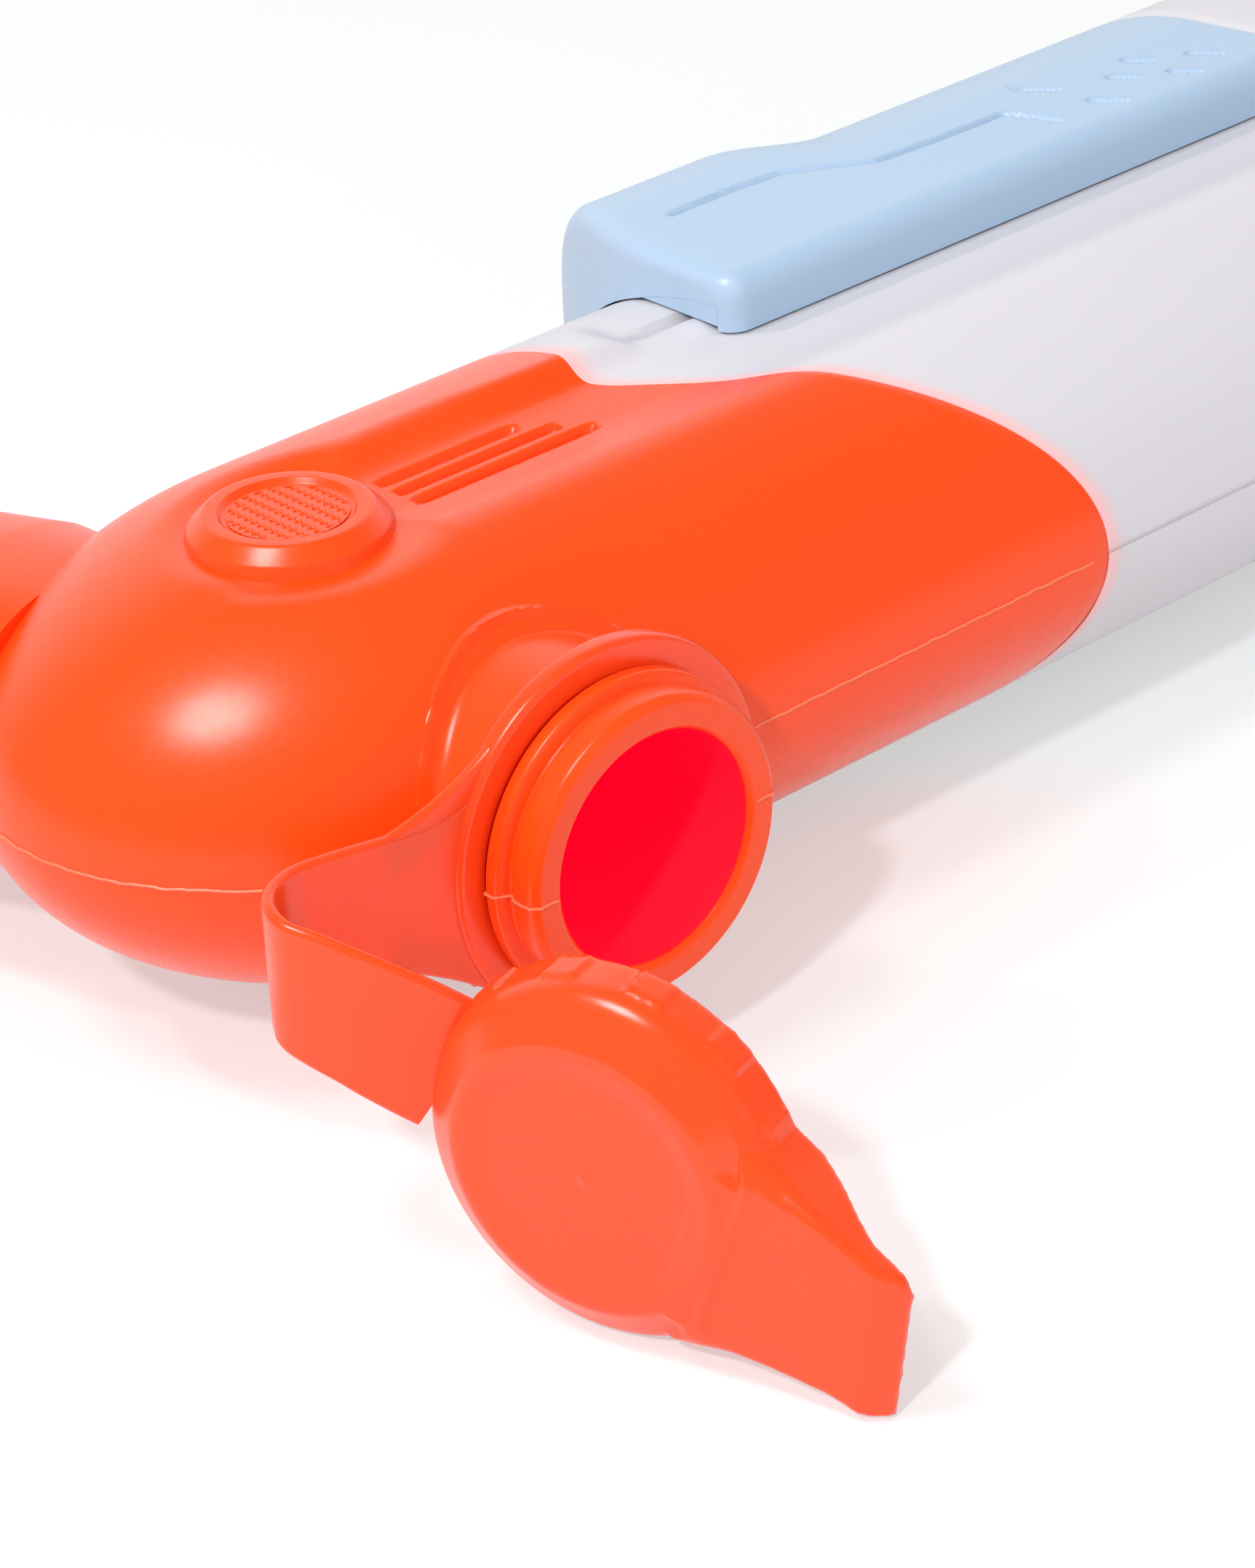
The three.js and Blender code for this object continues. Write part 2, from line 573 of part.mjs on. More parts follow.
/** Clearance holes for one screw driven from the right side. */
function screwHoles(x, y) {
  return join(
    peg(x, y, SCREW_RADIUS + SEAT_GAP, SCREW_HEAD_Z - 1, SCREW_BITE + SEAT_GAP, 10),
    peg(x, y, SCREW_HEAD_RADIUS + SEAT_GAP, -FAR / 4, SCREW_HEAD_Z, 12),
  );
}

function addScrew(name, x, y) {
  const profile = [
    [0, -SCREW_HEAD_HEIGHT], [SCREW_HEAD_RADIUS * 0.8, -SCREW_HEAD_HEIGHT], [SCREW_HEAD_RADIUS, -SCREW_HEAD_HEIGHT / 2],
    [SCREW_HEAD_RADIUS, -SEAT_GAP], [SCREW_RADIUS, -SEAT_GAP],
    [SCREW_RADIUS, SCREW_GRIP + SCREW_BITE - 1.5], [0, SCREW_GRIP + SCREW_BITE],
  ];
  const geometry = new THREE.LatheGeometry(profile.map(([r, z]) => new THREE.Vector2(r, z)), 10);
  geometry.rotateX(Math.PI / 2);
  add(name, geometry, STEEL).position.set(x, y, SCREW_HEAD_Z);
}

function buildHandle() {
  const pocket = handleForm(HANDLE_WALL);
  const hollow = cut(handleForm(0), handleChannel(), pocket);
  const screwY = handleScrewY();
  const room = HANDLE_SWELL_LOW_Y - HANDLE_WALL / 2;
  const posts = HANDLE_SCREW_XS.map((x) => (
    peg(x, screwY, (HANDLE_SWELL_LOW_Y - HANDLE_WALL - BODY_HALF_HEIGHT - SLIDE_GAP) / 2 + 0.4, -9, 9)));
  const inner = BODY_HALF_HEIGHT + SLIDE_GAP;
  const ribs = [CARRIAGE_REAR_X - SEAT_GAP - RIB_THICKNESS, CARRIAGE_FRONT_X + SEAT_GAP].map((x) => (
    block(x, x + RIB_THICKNESS, inner, room, -8, 8)));
  const carriers = cut(join(...posts, ...ribs).intersect(handleForm(0)), handleChannel());
  const whole = cut(join(hollow, carriers), ...HANDLE_SCREW_XS.map((x) => screwHoles(x, screwY)));
  add('pump_handle_left', shape(whole.intersect(halfSpace(LEFT_HALF))), BLUE);
  add('pump_handle_right', shape(whole.intersect(halfSpace(RIGHT_HALF))), BLUE);
  HANDLE_SCREW_XS.forEach((x, i) => addScrew(`handle_screw_${i + 1}`, x, screwY));
}

/** Upright rib across the casing with seats for the pieces that pass through it. */
function rib(x, inner, ...seats) {
  const slab = inner.intersect(block(x, x + RIB_THICKNESS, -FAR, FAR, -FAR, FAR));
  return cut(slab, ...seats);
}

const roundSeat = (y, radius) => solid(turned([[-FAR, 0], [-FAR, radius], [FAR, radius], [FAR, 0]], y, 24));

function buildCasing() {
  const barrel = cut(bodyForm(0), trackCut(0));
  const outside = cut(join(barrel, noseBlock()), tankSide(SEAT_GAP));
  const inner = cut(bodyForm(CASING_WALL), trackCut(CASING_WALL, TRACK_FRONT_X + CASING_WALL));
  const shell = cut(outside, inner);
  const roomy = cut(bodyForm(CASING_WALL / 2), trackCut(CASING_WALL / 2));
  const posts = SCREW_SPOTS.map(([x, y]) => (
    peg(x, y, SCREW_BOSS_RADIUS, -FAR / 4, FAR / 4).intersect(roomy)));
  const cylinderSeat = roundSeat(PUMP_AXIS_Y, CYLINDER_RADIUS + SEAT_GAP);
  const valveSeat = roundSeat(PUMP_AXIS_Y, VALVE_RADIUS + SEAT_GAP);
  const hoseSeat = roundSeat(HOSE_Y, HOSE_RADIUS + SEAT_GAP);
  const inletSeat = roundSeat(HOSE_Y, VALVE_RADIUS + SEAT_GAP);
  const ribs = [
    rib(CYLINDER_REAR_X + GUIDE_PLUG + 4, roomy, cylinderSeat, hoseSeat),
    rib(CYLINDER_FRONT_X - 8, roomy, cylinderSeat, inletSeat),
    rib(OUTLET_VALVE_X + VALVE_LENGTH / 2, roomy, valveSeat),
  ];
  const slotRear = CARRIAGE_REAR_X - STROKE - 2;
  const slotFront = CARRIAGE_FRONT_X + 2;
  const slotHalf = CARRIAGE_HALF_WIDTH + SLIDE_GAP;
  const slot = block(slotRear, slotFront, BODY_HALF_HEIGHT / 2, FAR, -slotHalf, slotHalf);
  const muzzle = solid(turned([
    [MUZZLE_X - 12, 0], [MUZZLE_X - 12, NOZZLE_RADIUS + SEAT_GAP],
    [MUZZLE_X + 5, NOZZLE_RADIUS + SEAT_GAP], [MUZZLE_X + 5, 0],
  ], PUMP_AXIS_Y));
  const nose = roomy.intersect(
    block(MUZZLE_X - CASING_WALL * 2, MUZZLE_X - CASING_WALL / 2, -FAR, FAR, -FAR, FAR));
  const holes = SCREW_SPOTS.map(([x, y]) => screwHoles(x, y));
  const whole = cut(join(shell, nose, ...posts, ...ribs), slot, muzzle, ...holes);
  add('casing_left', shape(whole.intersect(halfSpace(LEFT_HALF))), WHITE);
  add('casing_right', shape(whole.intersect(halfSpace(RIGHT_HALF))), WHITE);
  SCREW_SPOTS.forEach(([x, y], i) => addScrew(`casing_screw_${i + 1}`, x, y));
}

/** Helical spring along X, one round wire. */
function spring(x0, x1, y) {
  class Helix extends THREE.Curve {
    getPoint(t, target = new THREE.Vector3()) {
      const angle = 2 * Math.PI * SPRING_TURNS * t;
      const x = THREE.MathUtils.lerp(x0 + SPRING_WIRE, x1 - SPRING_WIRE, t);
      return target.set(x, y + SPRING_RADIUS * Math.cos(angle), SPRING_RADIUS * Math.sin(angle));
    }
  }
  const corners = Array.from({ length: 5 }, (_, i) => new THREE.Vector2(SPRING_WIRE, 0)
    .rotateAround(new THREE.Vector2(), (2 * Math.PI * i) / 5));
  const wire = new THREE.Shape(corners);
  console.log(`spring: least gap between turns ${(SPRING_PITCH - 2 * SPRING_WIRE).toFixed(2)} mm`);
  return shape(solid(new THREE.ExtrudeGeometry(wire, {
    steps: SPRING_TURNS * 8, extrudePath: new Helix(), bevelEnabled: false,
  })));
}

/** Ball check valve along X from x: seat, ball, spring and end stop. Flow is towards +X. */
function addValve(prefix, x, y, barb) {
  const seat = x + VALVE_SEAT_LENGTH;
  const chamberEnd = seat + VALVE_CHAMBER;
  const end = chamberEnd + VALVE_END;
  const chamber = BALL_RADIUS + BALL_GAP;
  const rear = barb
    ? [[x - barb, DUCT_BORE], [x - barb, BARB_RADIUS], [x, BARB_RADIUS]]
    : [[x, DUCT_BORE]];
  const body = turned([
    ...rear, [x, VALVE_RADIUS], [end, VALVE_RADIUS], [end, DUCT_BORE - 0.6], [chamberEnd, DUCT_BORE - 0.6],
    [chamberEnd, chamber], [seat, chamber], [seat, DUCT_BORE], rear[0],
  ], y, 18);
  add(`${prefix}_valve_body`, shape(solid(body)), NATURAL);
  const ballX = seat + BALL_FROM_SEAT;
  const ball = new THREE.SphereGeometry(BALL_RADIUS, 12, 8);
  add(`${prefix}_valve_ball`, shape(solid(ball)), STEEL).position.set(ballX, y, 0);
  const springStart = ballX + SPRING_FROM_BALL;
  add(`${prefix}_valve_spring`, spring(springStart, springStart + SPRING_LENGTH, y), STEEL);
  return end;
}

function buildPump() {
  const y = PUMP_AXIS_Y;
  const bore = CYLINDER_BORE;
  const tube = turned([
    [CYLINDER_REAR_X, bore], [CYLINDER_REAR_X, CYLINDER_RADIUS], [CYLINDER_FRONT_X, CYLINDER_RADIUS],
    [CYLINDER_FRONT_X, bore], [CYLINDER_REAR_X, bore],
  ], y, 24);
  add('pump_cylinder', shape(solid(tube)), CLEAR);

  const rodHole = ROD_RADIUS + SEAT_GAP;
  const flangeRear = CYLINDER_REAR_X - GUIDE_FLANGE;
  const guide = turned([
    [flangeRear, rodHole], [flangeRear, CYLINDER_RADIUS], [CYLINDER_REAR_X - SEAT_GAP, CYLINDER_RADIUS],
    [CYLINDER_REAR_X - SEAT_GAP, bore - SEAT_GAP], [GUIDE_FRONT_X, bore - SEAT_GAP], [GUIDE_FRONT_X, rodHole],
    [flangeRear, rodHole],
  ], y, 24);
  add('rod_guide', shape(solid(guide)), NATURAL);

  const mid = (PISTON_REAR_X + PISTON_FRONT_X) / 2;
  const outer = bore - PISTON_GAP;
  const ringHalf = RING_SECTION + SEAT_GAP;
  const grooveFloor = outer - 2 * RING_SECTION - SEAT_GAP;
  const piston = turned([
    [PISTON_REAR_X, 0], [PISTON_REAR_X, outer], [mid - ringHalf, outer], [mid - ringHalf, grooveFloor],
    [mid + ringHalf, grooveFloor], [mid + ringHalf, outer], [PISTON_FRONT_X, outer], [PISTON_FRONT_X, 0],
  ], y, 24);
  add('piston', shape(solid(piston)), NATURAL);
  const ring = new THREE.TorusGeometry(outer - RING_SECTION, RING_SECTION, 6, 20);
  ring.rotateY(Math.PI / 2).translate(mid, y, 0);
  add('piston_ring', shape(solid(ring)), RUBBER);

  const collarX = CARRIAGE_FRONT_X + SEAT_GAP;
  const headX = CARRIAGE_REAR_X - SEAT_GAP;
  const rod = turned([
    [headX - ROD_HEAD, 0], [headX - ROD_HEAD, ROD_HEAD_RADIUS], [headX, ROD_HEAD_RADIUS], [headX, ROD_RADIUS],
    [collarX, ROD_RADIUS], [collarX, ROD_HEAD_RADIUS], [collarX + ROD_HEAD, ROD_HEAD_RADIUS],
    [collarX + ROD_HEAD, ROD_RADIUS], [PISTON_REAR_X - SEAT_GAP, ROD_RADIUS], [PISTON_REAR_X - SEAT_GAP, 0],
  ], y, 16);
  add('piston_rod', shape(solid(rod)), NATURAL);

  const foot = HANDLE_WAIST_LOW_Y - HANDLE_WALL - SEAT_GAP;
  const eye = solid(turned([
    [CARRIAGE_REAR_X, 0], [CARRIAGE_REAR_X, CARRIAGE_EYE_RADIUS],
    [CARRIAGE_FRONT_X, CARRIAGE_EYE_RADIUS], [CARRIAGE_FRONT_X, 0],
  ], y, 24));
  const arm = block(CARRIAGE_REAR_X, CARRIAGE_FRONT_X, y, foot, -CARRIAGE_HALF_WIDTH, CARRIAGE_HALF_WIDTH);
  add('pump_carriage', shape(cut(join(eye, arm), roundSeat(y, rodHole))), NATURAL);

  const plug = solid(turned([
    [HEAD_REAR_X, 0], [HEAD_REAR_X, CYLINDER_RADIUS], [HEAD_FRONT_X, CYLINDER_RADIUS], [HEAD_FRONT_X, 0],
  ], y, 24));
  const riser = boreY(ELBOW_X, ELBOW_RADIUS, HOSE_Y - ELBOW_RADIUS, y, 20);
  const duct = roundSeat(y, DUCT_BORE);
  const riserBore = boreY(ELBOW_X, DUCT_BORE, HOSE_Y - DUCT_BORE, y, 12);
  const inletBore = solid(turned([
    [ELBOW_X - ELBOW_RADIUS - 1, 0], [ELBOW_X - ELBOW_RADIUS - 1, DUCT_BORE],
    [ELBOW_X, DUCT_BORE], [ELBOW_X, 0],
  ], HOSE_Y, 12));
  add('pump_head', shape(cut(join(plug, riser), duct, riserBore, inletBore)), NATURAL);

  addValve('outlet', OUTLET_VALVE_X, y, 0);
  addValve('inlet', INLET_VALVE_X, HOSE_Y, BARB_LENGTH);
}

function buildNozzle() {
  const y = PUMP_AXIS_Y;
  const collarEnd = COLLAR_REAR_X + COLLAR_LENGTH;
  const tip = collarEnd + NOZZLE_STICKOUT;
  const nozzle = turned([
    [NOZZLE_REAR_X, NOZZLE_BORE], [NOZZLE_REAR_X, NOZZLE_RADIUS], [collarEnd + 1, NOZZLE_RADIUS],
    [tip - 1, NOZZLE_TIP_RADIUS], [tip, NOZZLE_TIP_RADIUS - 0.8], [tip, NOZZLE_BORE], [NOZZLE_REAR_X, NOZZLE_BORE],
  ], y, 24);
  add('nozzle', shape(solid(nozzle)), ORANGE);
  const hole = NOZZLE_RADIUS + SEAT_GAP;
  const collar = turned([
    [COLLAR_REAR_X, hole], [COLLAR_REAR_X, COLLAR_RADIUS], [collarEnd - 2, COLLAR_RADIUS],
    [collarEnd, COLLAR_RADIUS - 2.4], [collarEnd, hole], [COLLAR_REAR_X, hole],
  ], y, 24);
  add('nozzle_collar', shape(solid(collar)), ORANGE);
}

/** Hollow round tube along a curve. */
function pipe(curve, radius, bore, steps, sides = 4) {
  const outline = new THREE.Shape();
  outline.absarc(0, 0, radius, 0, 2 * Math.PI, false);
  const hole = new THREE.Path();
  hole.absarc(0, 0, bore, 0, 2 * Math.PI, true);
  outline.holes.push(hole);
  return shape(solid(new THREE.ExtrudeGeometry(outline, {
    steps, extrudePath: curve, bevelEnabled: false, curveSegments: sides,
  })));
}

function buildSupply() {
  const y = OUTLET_Y;
  const wallFront = TONGUE_TOP_X;
  const wallRear = TONGUE_TOP_X - TANK_WALL;
  const hole = TUBE_RADIUS + SEAT_GAP;
  const rear = wallRear - SEAT_GAP - GROMMET_FLANGE;
  const front = wallFront + SEAT_GAP + GROMMET_FLANGE;
  const grommet = turned([
    [rear, hole], [rear, GROMMET_FLANGE_RADIUS], [wallRear - SEAT_GAP, GROMMET_FLANGE_RADIUS],
    [wallRear - SEAT_GAP, GROMMET_NECK_RADIUS], [wallFront + SEAT_GAP, GROMMET_NECK_RADIUS],
    [wallFront + SEAT_GAP, GROMMET_FLANGE_RADIUS], [front, GROMMET_FLANGE_RADIUS], [front, hole], [rear, hole],
  ], y, 20);
  add('outlet_grommet', shape(solid(grommet)), RUBBER);

  const low = BODY_HALF_HEIGHT - TANK_WALL - TUBE_RADIUS;
  const corner = JOINT_LOW_X - TANK_WALL - TUBE_RADIUS;
  const flat = (px, py) => new THREE.Vector3(px, py, 0);
  const pickup = new THREE.CurvePath();
  pickup.add(new THREE.LineCurve3(flat(front + TUBE_STICKOUT, y), flat(rear - 2, y)));
  pickup.add(new THREE.CubicBezierCurve3(
    flat(rear - 2, y), flat(rear - 16, y), flat(corner + 6, -4), flat(corner - 1, TRACK_LOW_Y + 8),
  ));
  pickup.add(new THREE.CubicBezierCurve3(
    flat(corner - 1, TRACK_LOW_Y + 8), flat(corner - 5, TRACK_LOW_Y + 16),
    flat(corner - 7, low - 7), flat(corner - 12, low - 3.5),
  ));
  add('pickup_tube', pipe(pickup, TUBE_RADIUS, TUBE_BORE, 15), CLEAR);

  const hoseEnd = INLET_VALVE_X - SEAT_GAP;
  const bendStart = front + TUBE_STICKOUT;
  const bendEnd = bendStart + HOSE_BEND;
  const hose = new THREE.CurvePath();
  hose.add(new THREE.LineCurve3(flat(front + SEAT_GAP, y), flat(bendStart, y)));
  hose.add(new THREE.CubicBezierCurve3(
    flat(bendStart, y), flat(bendStart + HOSE_BEND / 2, y), flat(bendEnd - HOSE_BEND / 2, HOSE_Y), flat(bendEnd, HOSE_Y),
  ));
  hose.add(new THREE.LineCurve3(flat(bendEnd, HOSE_Y), flat(hoseEnd, HOSE_Y)));
  add('suction_hose', pipe(hose, HOSE_RADIUS, HOSE_BORE, 12), CLEAR);
}

/** Flat band along a list of places, upright, with a rounded or square start. */
function band(path, widthAt, thickness) {
  const points = path.getSpacedPoints(Math.max(6, Math.round(path.getLength() / 2.5)));
  const rings = points.map((point, i) => {
    const t = i / (points.length - 1);
    const tangent = path.getTangentAt(t);
    const up = new THREE.Vector3(0, 0, 1).addScaledVector(tangent, -tangent.z).normalize();
    const side = new THREE.Vector3().crossVectors(up, tangent).multiplyScalar(thickness / 2);
    const rise = up.multiplyScalar(widthAt(t) / 2);
    return [[1, 1], [-1, 1], [-1, -1], [1, -1]].map(([s, r]) => (
      point.clone().addScaledVector(side, s).addScaledVector(rise, r)));
  });
  return solid(loft(rings));
}

const STRAP_BEND_X = -STRAP_RING_RADIUS - STRAP_RUN - STRAP_BEND_RADIUS;
const STRAP_HINGE = new THREE.Vector3(
  STRAP_BEND_X + STRAP_BEND_RADIUS * (1 - Math.SQRT1_2),
  RING_Y - STRAP_BEND_RADIUS * (1 - Math.SQRT1_2),
  STRAP_TILT_Z,
);

/** Cap axes: the tab's way, the cap's cross way and the face's outward way. */
function capBasis() {
  const level = new THREE.Vector3(0, 0, 1).addScaledVector(CAP_FACE, -CAP_FACE.z).normalize();
  const ahead = new THREE.Vector3().crossVectors(CAP_FACE, level).negate();
  if (ahead.y > 0) ahead.negate();
  const tab = ahead.multiplyScalar(Math.cos(TAB_DROP)).addScaledVector(level, -Math.sin(TAB_DROP));
  return new THREE.Matrix4().makeBasis(tab, new THREE.Vector3().crossVectors(CAP_FACE, tab), CAP_FACE);
}

const CAP_CENTRE = new THREE.Vector3(
  CAP_FROM_MOUTH.x, MOUTH_Y + CAP_FROM_MOUTH.y, -HANDLE_HALF_WIDTH + CAP_RADIUS + SEAT_GAP + CAP_DEPTH * CAP_FACE.z,
);

function buildCap() {
  const basis = capBasis();
  const place = (group) => {
    group.quaternion.setFromRotationMatrix(basis);
    group.position.copy(CAP_CENTRE);
  };
  const skirtBore = NECK_RADIUS + SEAT_GAP;
  const plugRadius = NECK_BORE - SEAT_GAP;
  const profile = [
    [0, 0], [CAP_RADIUS - CAP_BEVEL, 0], [CAP_RADIUS - CAP_BEVEL * 0.3, -CAP_BEVEL * 0.3], [CAP_RADIUS, -CAP_BEVEL],
    [CAP_RADIUS, -CAP_DEPTH], [skirtBore, -CAP_DEPTH], [skirtBore, -CAP_TOP],
    [plugRadius, -CAP_TOP], [plugRadius, -PLUG_LENGTH + 1], [plugRadius - PLUG_WALL * 0.5, -PLUG_LENGTH],
    [plugRadius - PLUG_WALL, -PLUG_LENGTH], [plugRadius - PLUG_WALL, -CAP_TOP], [0, -CAP_TOP],
  ];
  const turnedCap = new THREE.LatheGeometry(profile.map(([r, z]) => new THREE.Vector2(r, z)).reverse(), 28);
  turnedCap.rotateX(Math.PI / 2);
  const root = CAP_RADIUS * 0.86;
  const reach = CAP_RADIUS + TAB_REACH;
  const waist = CAP_RADIUS + TAB_REACH * 0.68;
  const outline = new THREE.Shape();
  outline.moveTo(root, -TAB_ROOT_WIDTH / 2);
  outline.quadraticCurveTo(waist - 3, -TAB_WAIST_WIDTH / 2 - 1, waist, -TAB_WAIST_WIDTH / 2);
  outline.quadraticCurveTo(reach - 2, -TAB_WAIST_WIDTH / 2, reach, -TAB_END_WIDTH / 2);
  outline.lineTo(reach, TAB_END_WIDTH / 2);
  outline.quadraticCurveTo(reach - 2, TAB_WAIST_WIDTH / 2, waist, TAB_WAIST_WIDTH / 2);
  outline.quadraticCurveTo(waist - 3, TAB_WAIST_WIDTH / 2 + 1, root, TAB_ROOT_WIDTH / 2);
  const slab = new THREE.ExtrudeGeometry(outline, { depth: CAP_DEPTH * 2, bevelEnabled: false, curveSegments: 4 });
  slab.translate(0, 0, -CAP_DEPTH * 1.5);
  const wedge = new THREE.ExtrudeGeometry(new THREE.Shape([
    new THREE.Vector2(root - 1, -TAB_SET_BACK), new THREE.Vector2(reach - TAB_FACET, -TAB_SET_BACK),
    new THREE.Vector2(reach, -TAB_SET_BACK - TAB_TIP), new THREE.Vector2(CAP_RADIUS - 0.7, -CAP_DEPTH + 0.05),
    new THREE.Vector2(root - 1, -CAP_DEPTH + 0.05),
  ]), { depth: TAB_ROOT_WIDTH * 2, bevelEnabled: false });
  wedge.rotateX(Math.PI / 2).translate(0, TAB_ROOT_WIDTH, 0);
  const tab = solid(slab).intersect(solid(wedge));
  const cavity = new THREE.CylinderGeometry(skirtBore + 0.2, skirtBore + 0.2, CAP_DEPTH * 2, 28);
  cavity.rotateX(Math.PI / 2).translate(0, 0, -CAP_TOP - CAP_DEPTH);
  const capGroup = new THREE.Group();
  place(capGroup);
  add('cap', shape(join(solid(turnedCap), cut(tab, solid(cavity)))), SOFT_ORANGE, capGroup);
  toy.add(capGroup);

  const keepOut = new THREE.CylinderGeometry(CAP_RADIUS + SEAT_GAP, CAP_RADIUS + SEAT_GAP, CAP_DEPTH * 4, 36);
  keepOut.rotateX(Math.PI / 2).applyMatrix4(basis).translate(CAP_CENTRE.x, CAP_CENTRE.y, CAP_CENTRE.z);
  const seat = new THREE.Vector3(-CAP_RADIUS + 1.5, 0, -CAP_DEPTH * 0.5).applyMatrix4(basis).add(CAP_CENTRE);
  const lead = new THREE.CatmullRomCurve3([
    STRAP_HINGE.clone(),
    new THREE.Vector3(STRAP_BEND_X + 0.4, RING_Y - STRAP_BEND_RADIUS * 1.1, STRAP_TILT_Z - 0.8),
    STRAP_HINGE.clone().lerp(seat, 0.5).add(new THREE.Vector3(-2.6, -2, 1)),
    seat,
  ], false, 'centripetal');
  const knuckle = new THREE.CylinderGeometry(STRAP_THICKNESS / 2, STRAP_THICKNESS / 2, STRAP_WIDTH, 12);
  knuckle.rotateX(Math.PI / 2).translate(STRAP_HINGE.x, STRAP_HINGE.y, STRAP_HINGE.z);
  const past = new THREE.BoxGeometry(FAR, FAR, FAR).translate(FAR / 2, 0, 0).rotateZ(-0.75 * Math.PI);
  past.translate(STRAP_HINGE.x, STRAP_HINGE.y, STRAP_HINGE.z);
  const run = band(lead, () => STRAP_WIDTH, STRAP_THICKNESS).intersect(solid(past));
  add('strap_lead', shape(cut(join(run, solid(knuckle)), solid(keepOut))), SOFT_ORANGE);
}

function buildStrapRing() {
  const half = RING_THICKNESS / 2;
  const hole = NECK_RADIUS + SEAT_GAP;
  const profile = [
    [hole, RING_Y - half], [STRAP_RING_RADIUS, RING_Y - half], [STRAP_RING_RADIUS, RING_Y + half],
    [hole, RING_Y + half], [hole, RING_Y - half],
  ];
  const ring = new THREE.LatheGeometry(profile.map(([r, y]) => new THREE.Vector2(r, y)), 28);
  const start = new THREE.Vector3(-hole - 1.2, RING_Y, STRAP_TILT_Z);
  const bendStart = new THREE.Vector3(STRAP_BEND_X + STRAP_BEND_RADIUS, RING_Y, STRAP_TILT_Z);
  const points = [start];
  for (let i = 1; i < 4; i += 1) points.push(start.clone().lerp(bendStart, i / 4));
  for (let i = 0; i <= 4; i += 1) {
    const t = (Math.PI / 4) * (i / 4);
    points.push(new THREE.Vector3(
      bendStart.x - STRAP_BEND_RADIUS * Math.sin(t),
      RING_Y - STRAP_BEND_RADIUS * (1 - Math.cos(t)),
      STRAP_TILT_Z,
    ));
  }
  const curve = new THREE.CatmullRomCurve3(points, false, 'centripetal');
  const flare = (t) => STRAP_WIDTH + 9 * Math.max(0, 1 - t / 0.35) ** 2;
  const hingeClear = new THREE.CylinderGeometry(
    STRAP_THICKNESS / 2 + STRAP_HINGE_GAP, STRAP_THICKNESS / 2 + STRAP_HINGE_GAP, STRAP_WIDTH * 2, 16,
  );
  hingeClear.rotateX(Math.PI / 2).translate(STRAP_HINGE.x, STRAP_HINGE.y, STRAP_HINGE.z);
  const neckClear = boreY(0, hole, MOUTH_Y, 0);
  const root = cut(band(curve, flare, STRAP_THICKNESS), solid(hingeClear));
  add('strap_ring', shape(cut(join(solid(ring), root), neckClear)), SOFT_ORANGE);
}

buildTank();
buildCasing();
buildHandle();
buildPump();
buildSupply();
buildNozzle();
buildStrapRing();
buildCap();

// The toy stands on the floor at z = 0 with the origin under the middle of its bounds.
toy.updateMatrixWorld(true);
const bounds = new THREE.Box3().setFromObject(toy, true);
const middle = bounds.getCenter(new THREE.Vector3());
toy.position.set(-middle.x, -middle.y, -bounds.min.z);

const waterSquirter = new THREE.Group();
waterSquirter.add(toy);
export default waterSquirter;
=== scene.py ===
"""Looks of a toy water squirter that lies on its side with its filler cap off.

All sizes are in millimetres in the toy's own frame: +X towards the muzzle, +Y towards the
underside, z = 0 on the mould parting plane. TO_ROW takes them to the frame of the solids.
"""
from __future__ import annotations

import logging
import math
from dataclasses import dataclass, field
from enum import Enum

import bmesh
import bpy
from bmesh.types import BMEdge, BMesh, BMVert
from bpy.types import Material, Mesh, Node, NodeSocket, NodeTree, Object
from mathutils import Matrix, Vector, noise

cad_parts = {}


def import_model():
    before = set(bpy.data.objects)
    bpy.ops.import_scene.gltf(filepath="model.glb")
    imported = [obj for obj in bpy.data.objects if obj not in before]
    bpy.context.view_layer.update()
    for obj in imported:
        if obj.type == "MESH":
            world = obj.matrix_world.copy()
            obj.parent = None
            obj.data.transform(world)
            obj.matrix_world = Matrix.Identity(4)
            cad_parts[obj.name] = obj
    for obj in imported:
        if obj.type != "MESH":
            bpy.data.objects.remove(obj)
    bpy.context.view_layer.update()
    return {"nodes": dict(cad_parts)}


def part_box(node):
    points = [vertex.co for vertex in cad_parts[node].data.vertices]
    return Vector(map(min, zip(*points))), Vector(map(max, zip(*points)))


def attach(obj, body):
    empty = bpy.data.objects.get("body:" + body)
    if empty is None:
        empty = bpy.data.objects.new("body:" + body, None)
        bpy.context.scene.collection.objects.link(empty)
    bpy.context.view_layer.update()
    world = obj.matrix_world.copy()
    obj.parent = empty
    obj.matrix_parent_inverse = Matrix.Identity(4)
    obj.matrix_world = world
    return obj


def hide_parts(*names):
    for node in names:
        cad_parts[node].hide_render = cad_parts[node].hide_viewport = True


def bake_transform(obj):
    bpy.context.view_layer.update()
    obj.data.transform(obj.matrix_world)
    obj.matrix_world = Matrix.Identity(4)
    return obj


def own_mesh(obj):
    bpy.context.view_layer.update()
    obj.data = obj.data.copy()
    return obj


LOG = logging.getLogger("water_squirter")

MM = 0.001
TOY_ORIGIN = Vector((-78.3332, -3.3175, 26.6))
TO_ROW = Matrix.Scale(MM, 4) @ Matrix.Translation(TOY_ORIGIN)
PHOTO_HEIGHT = 2156
# Attribute that holds the painted pink light of the orange tank on the casing's white edge.
PAINTED_EDGE_LIGHT_ATTRIBUTE = "edge"
FLANK_HEIGHT = 15.0
WELD = 1e-4

Colour = tuple[float, float, float]
Flat = tuple[float, float]


class Side(Enum):
    """The two halves of the mouldings that part at z = 0."""

    LEFT = 1
    RIGHT = -1


class Body(Enum):
    """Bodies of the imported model."""

    MAIN = "body"
    PUMP = "pump"
    RING = "ring"
    CLOSURE = "closure"


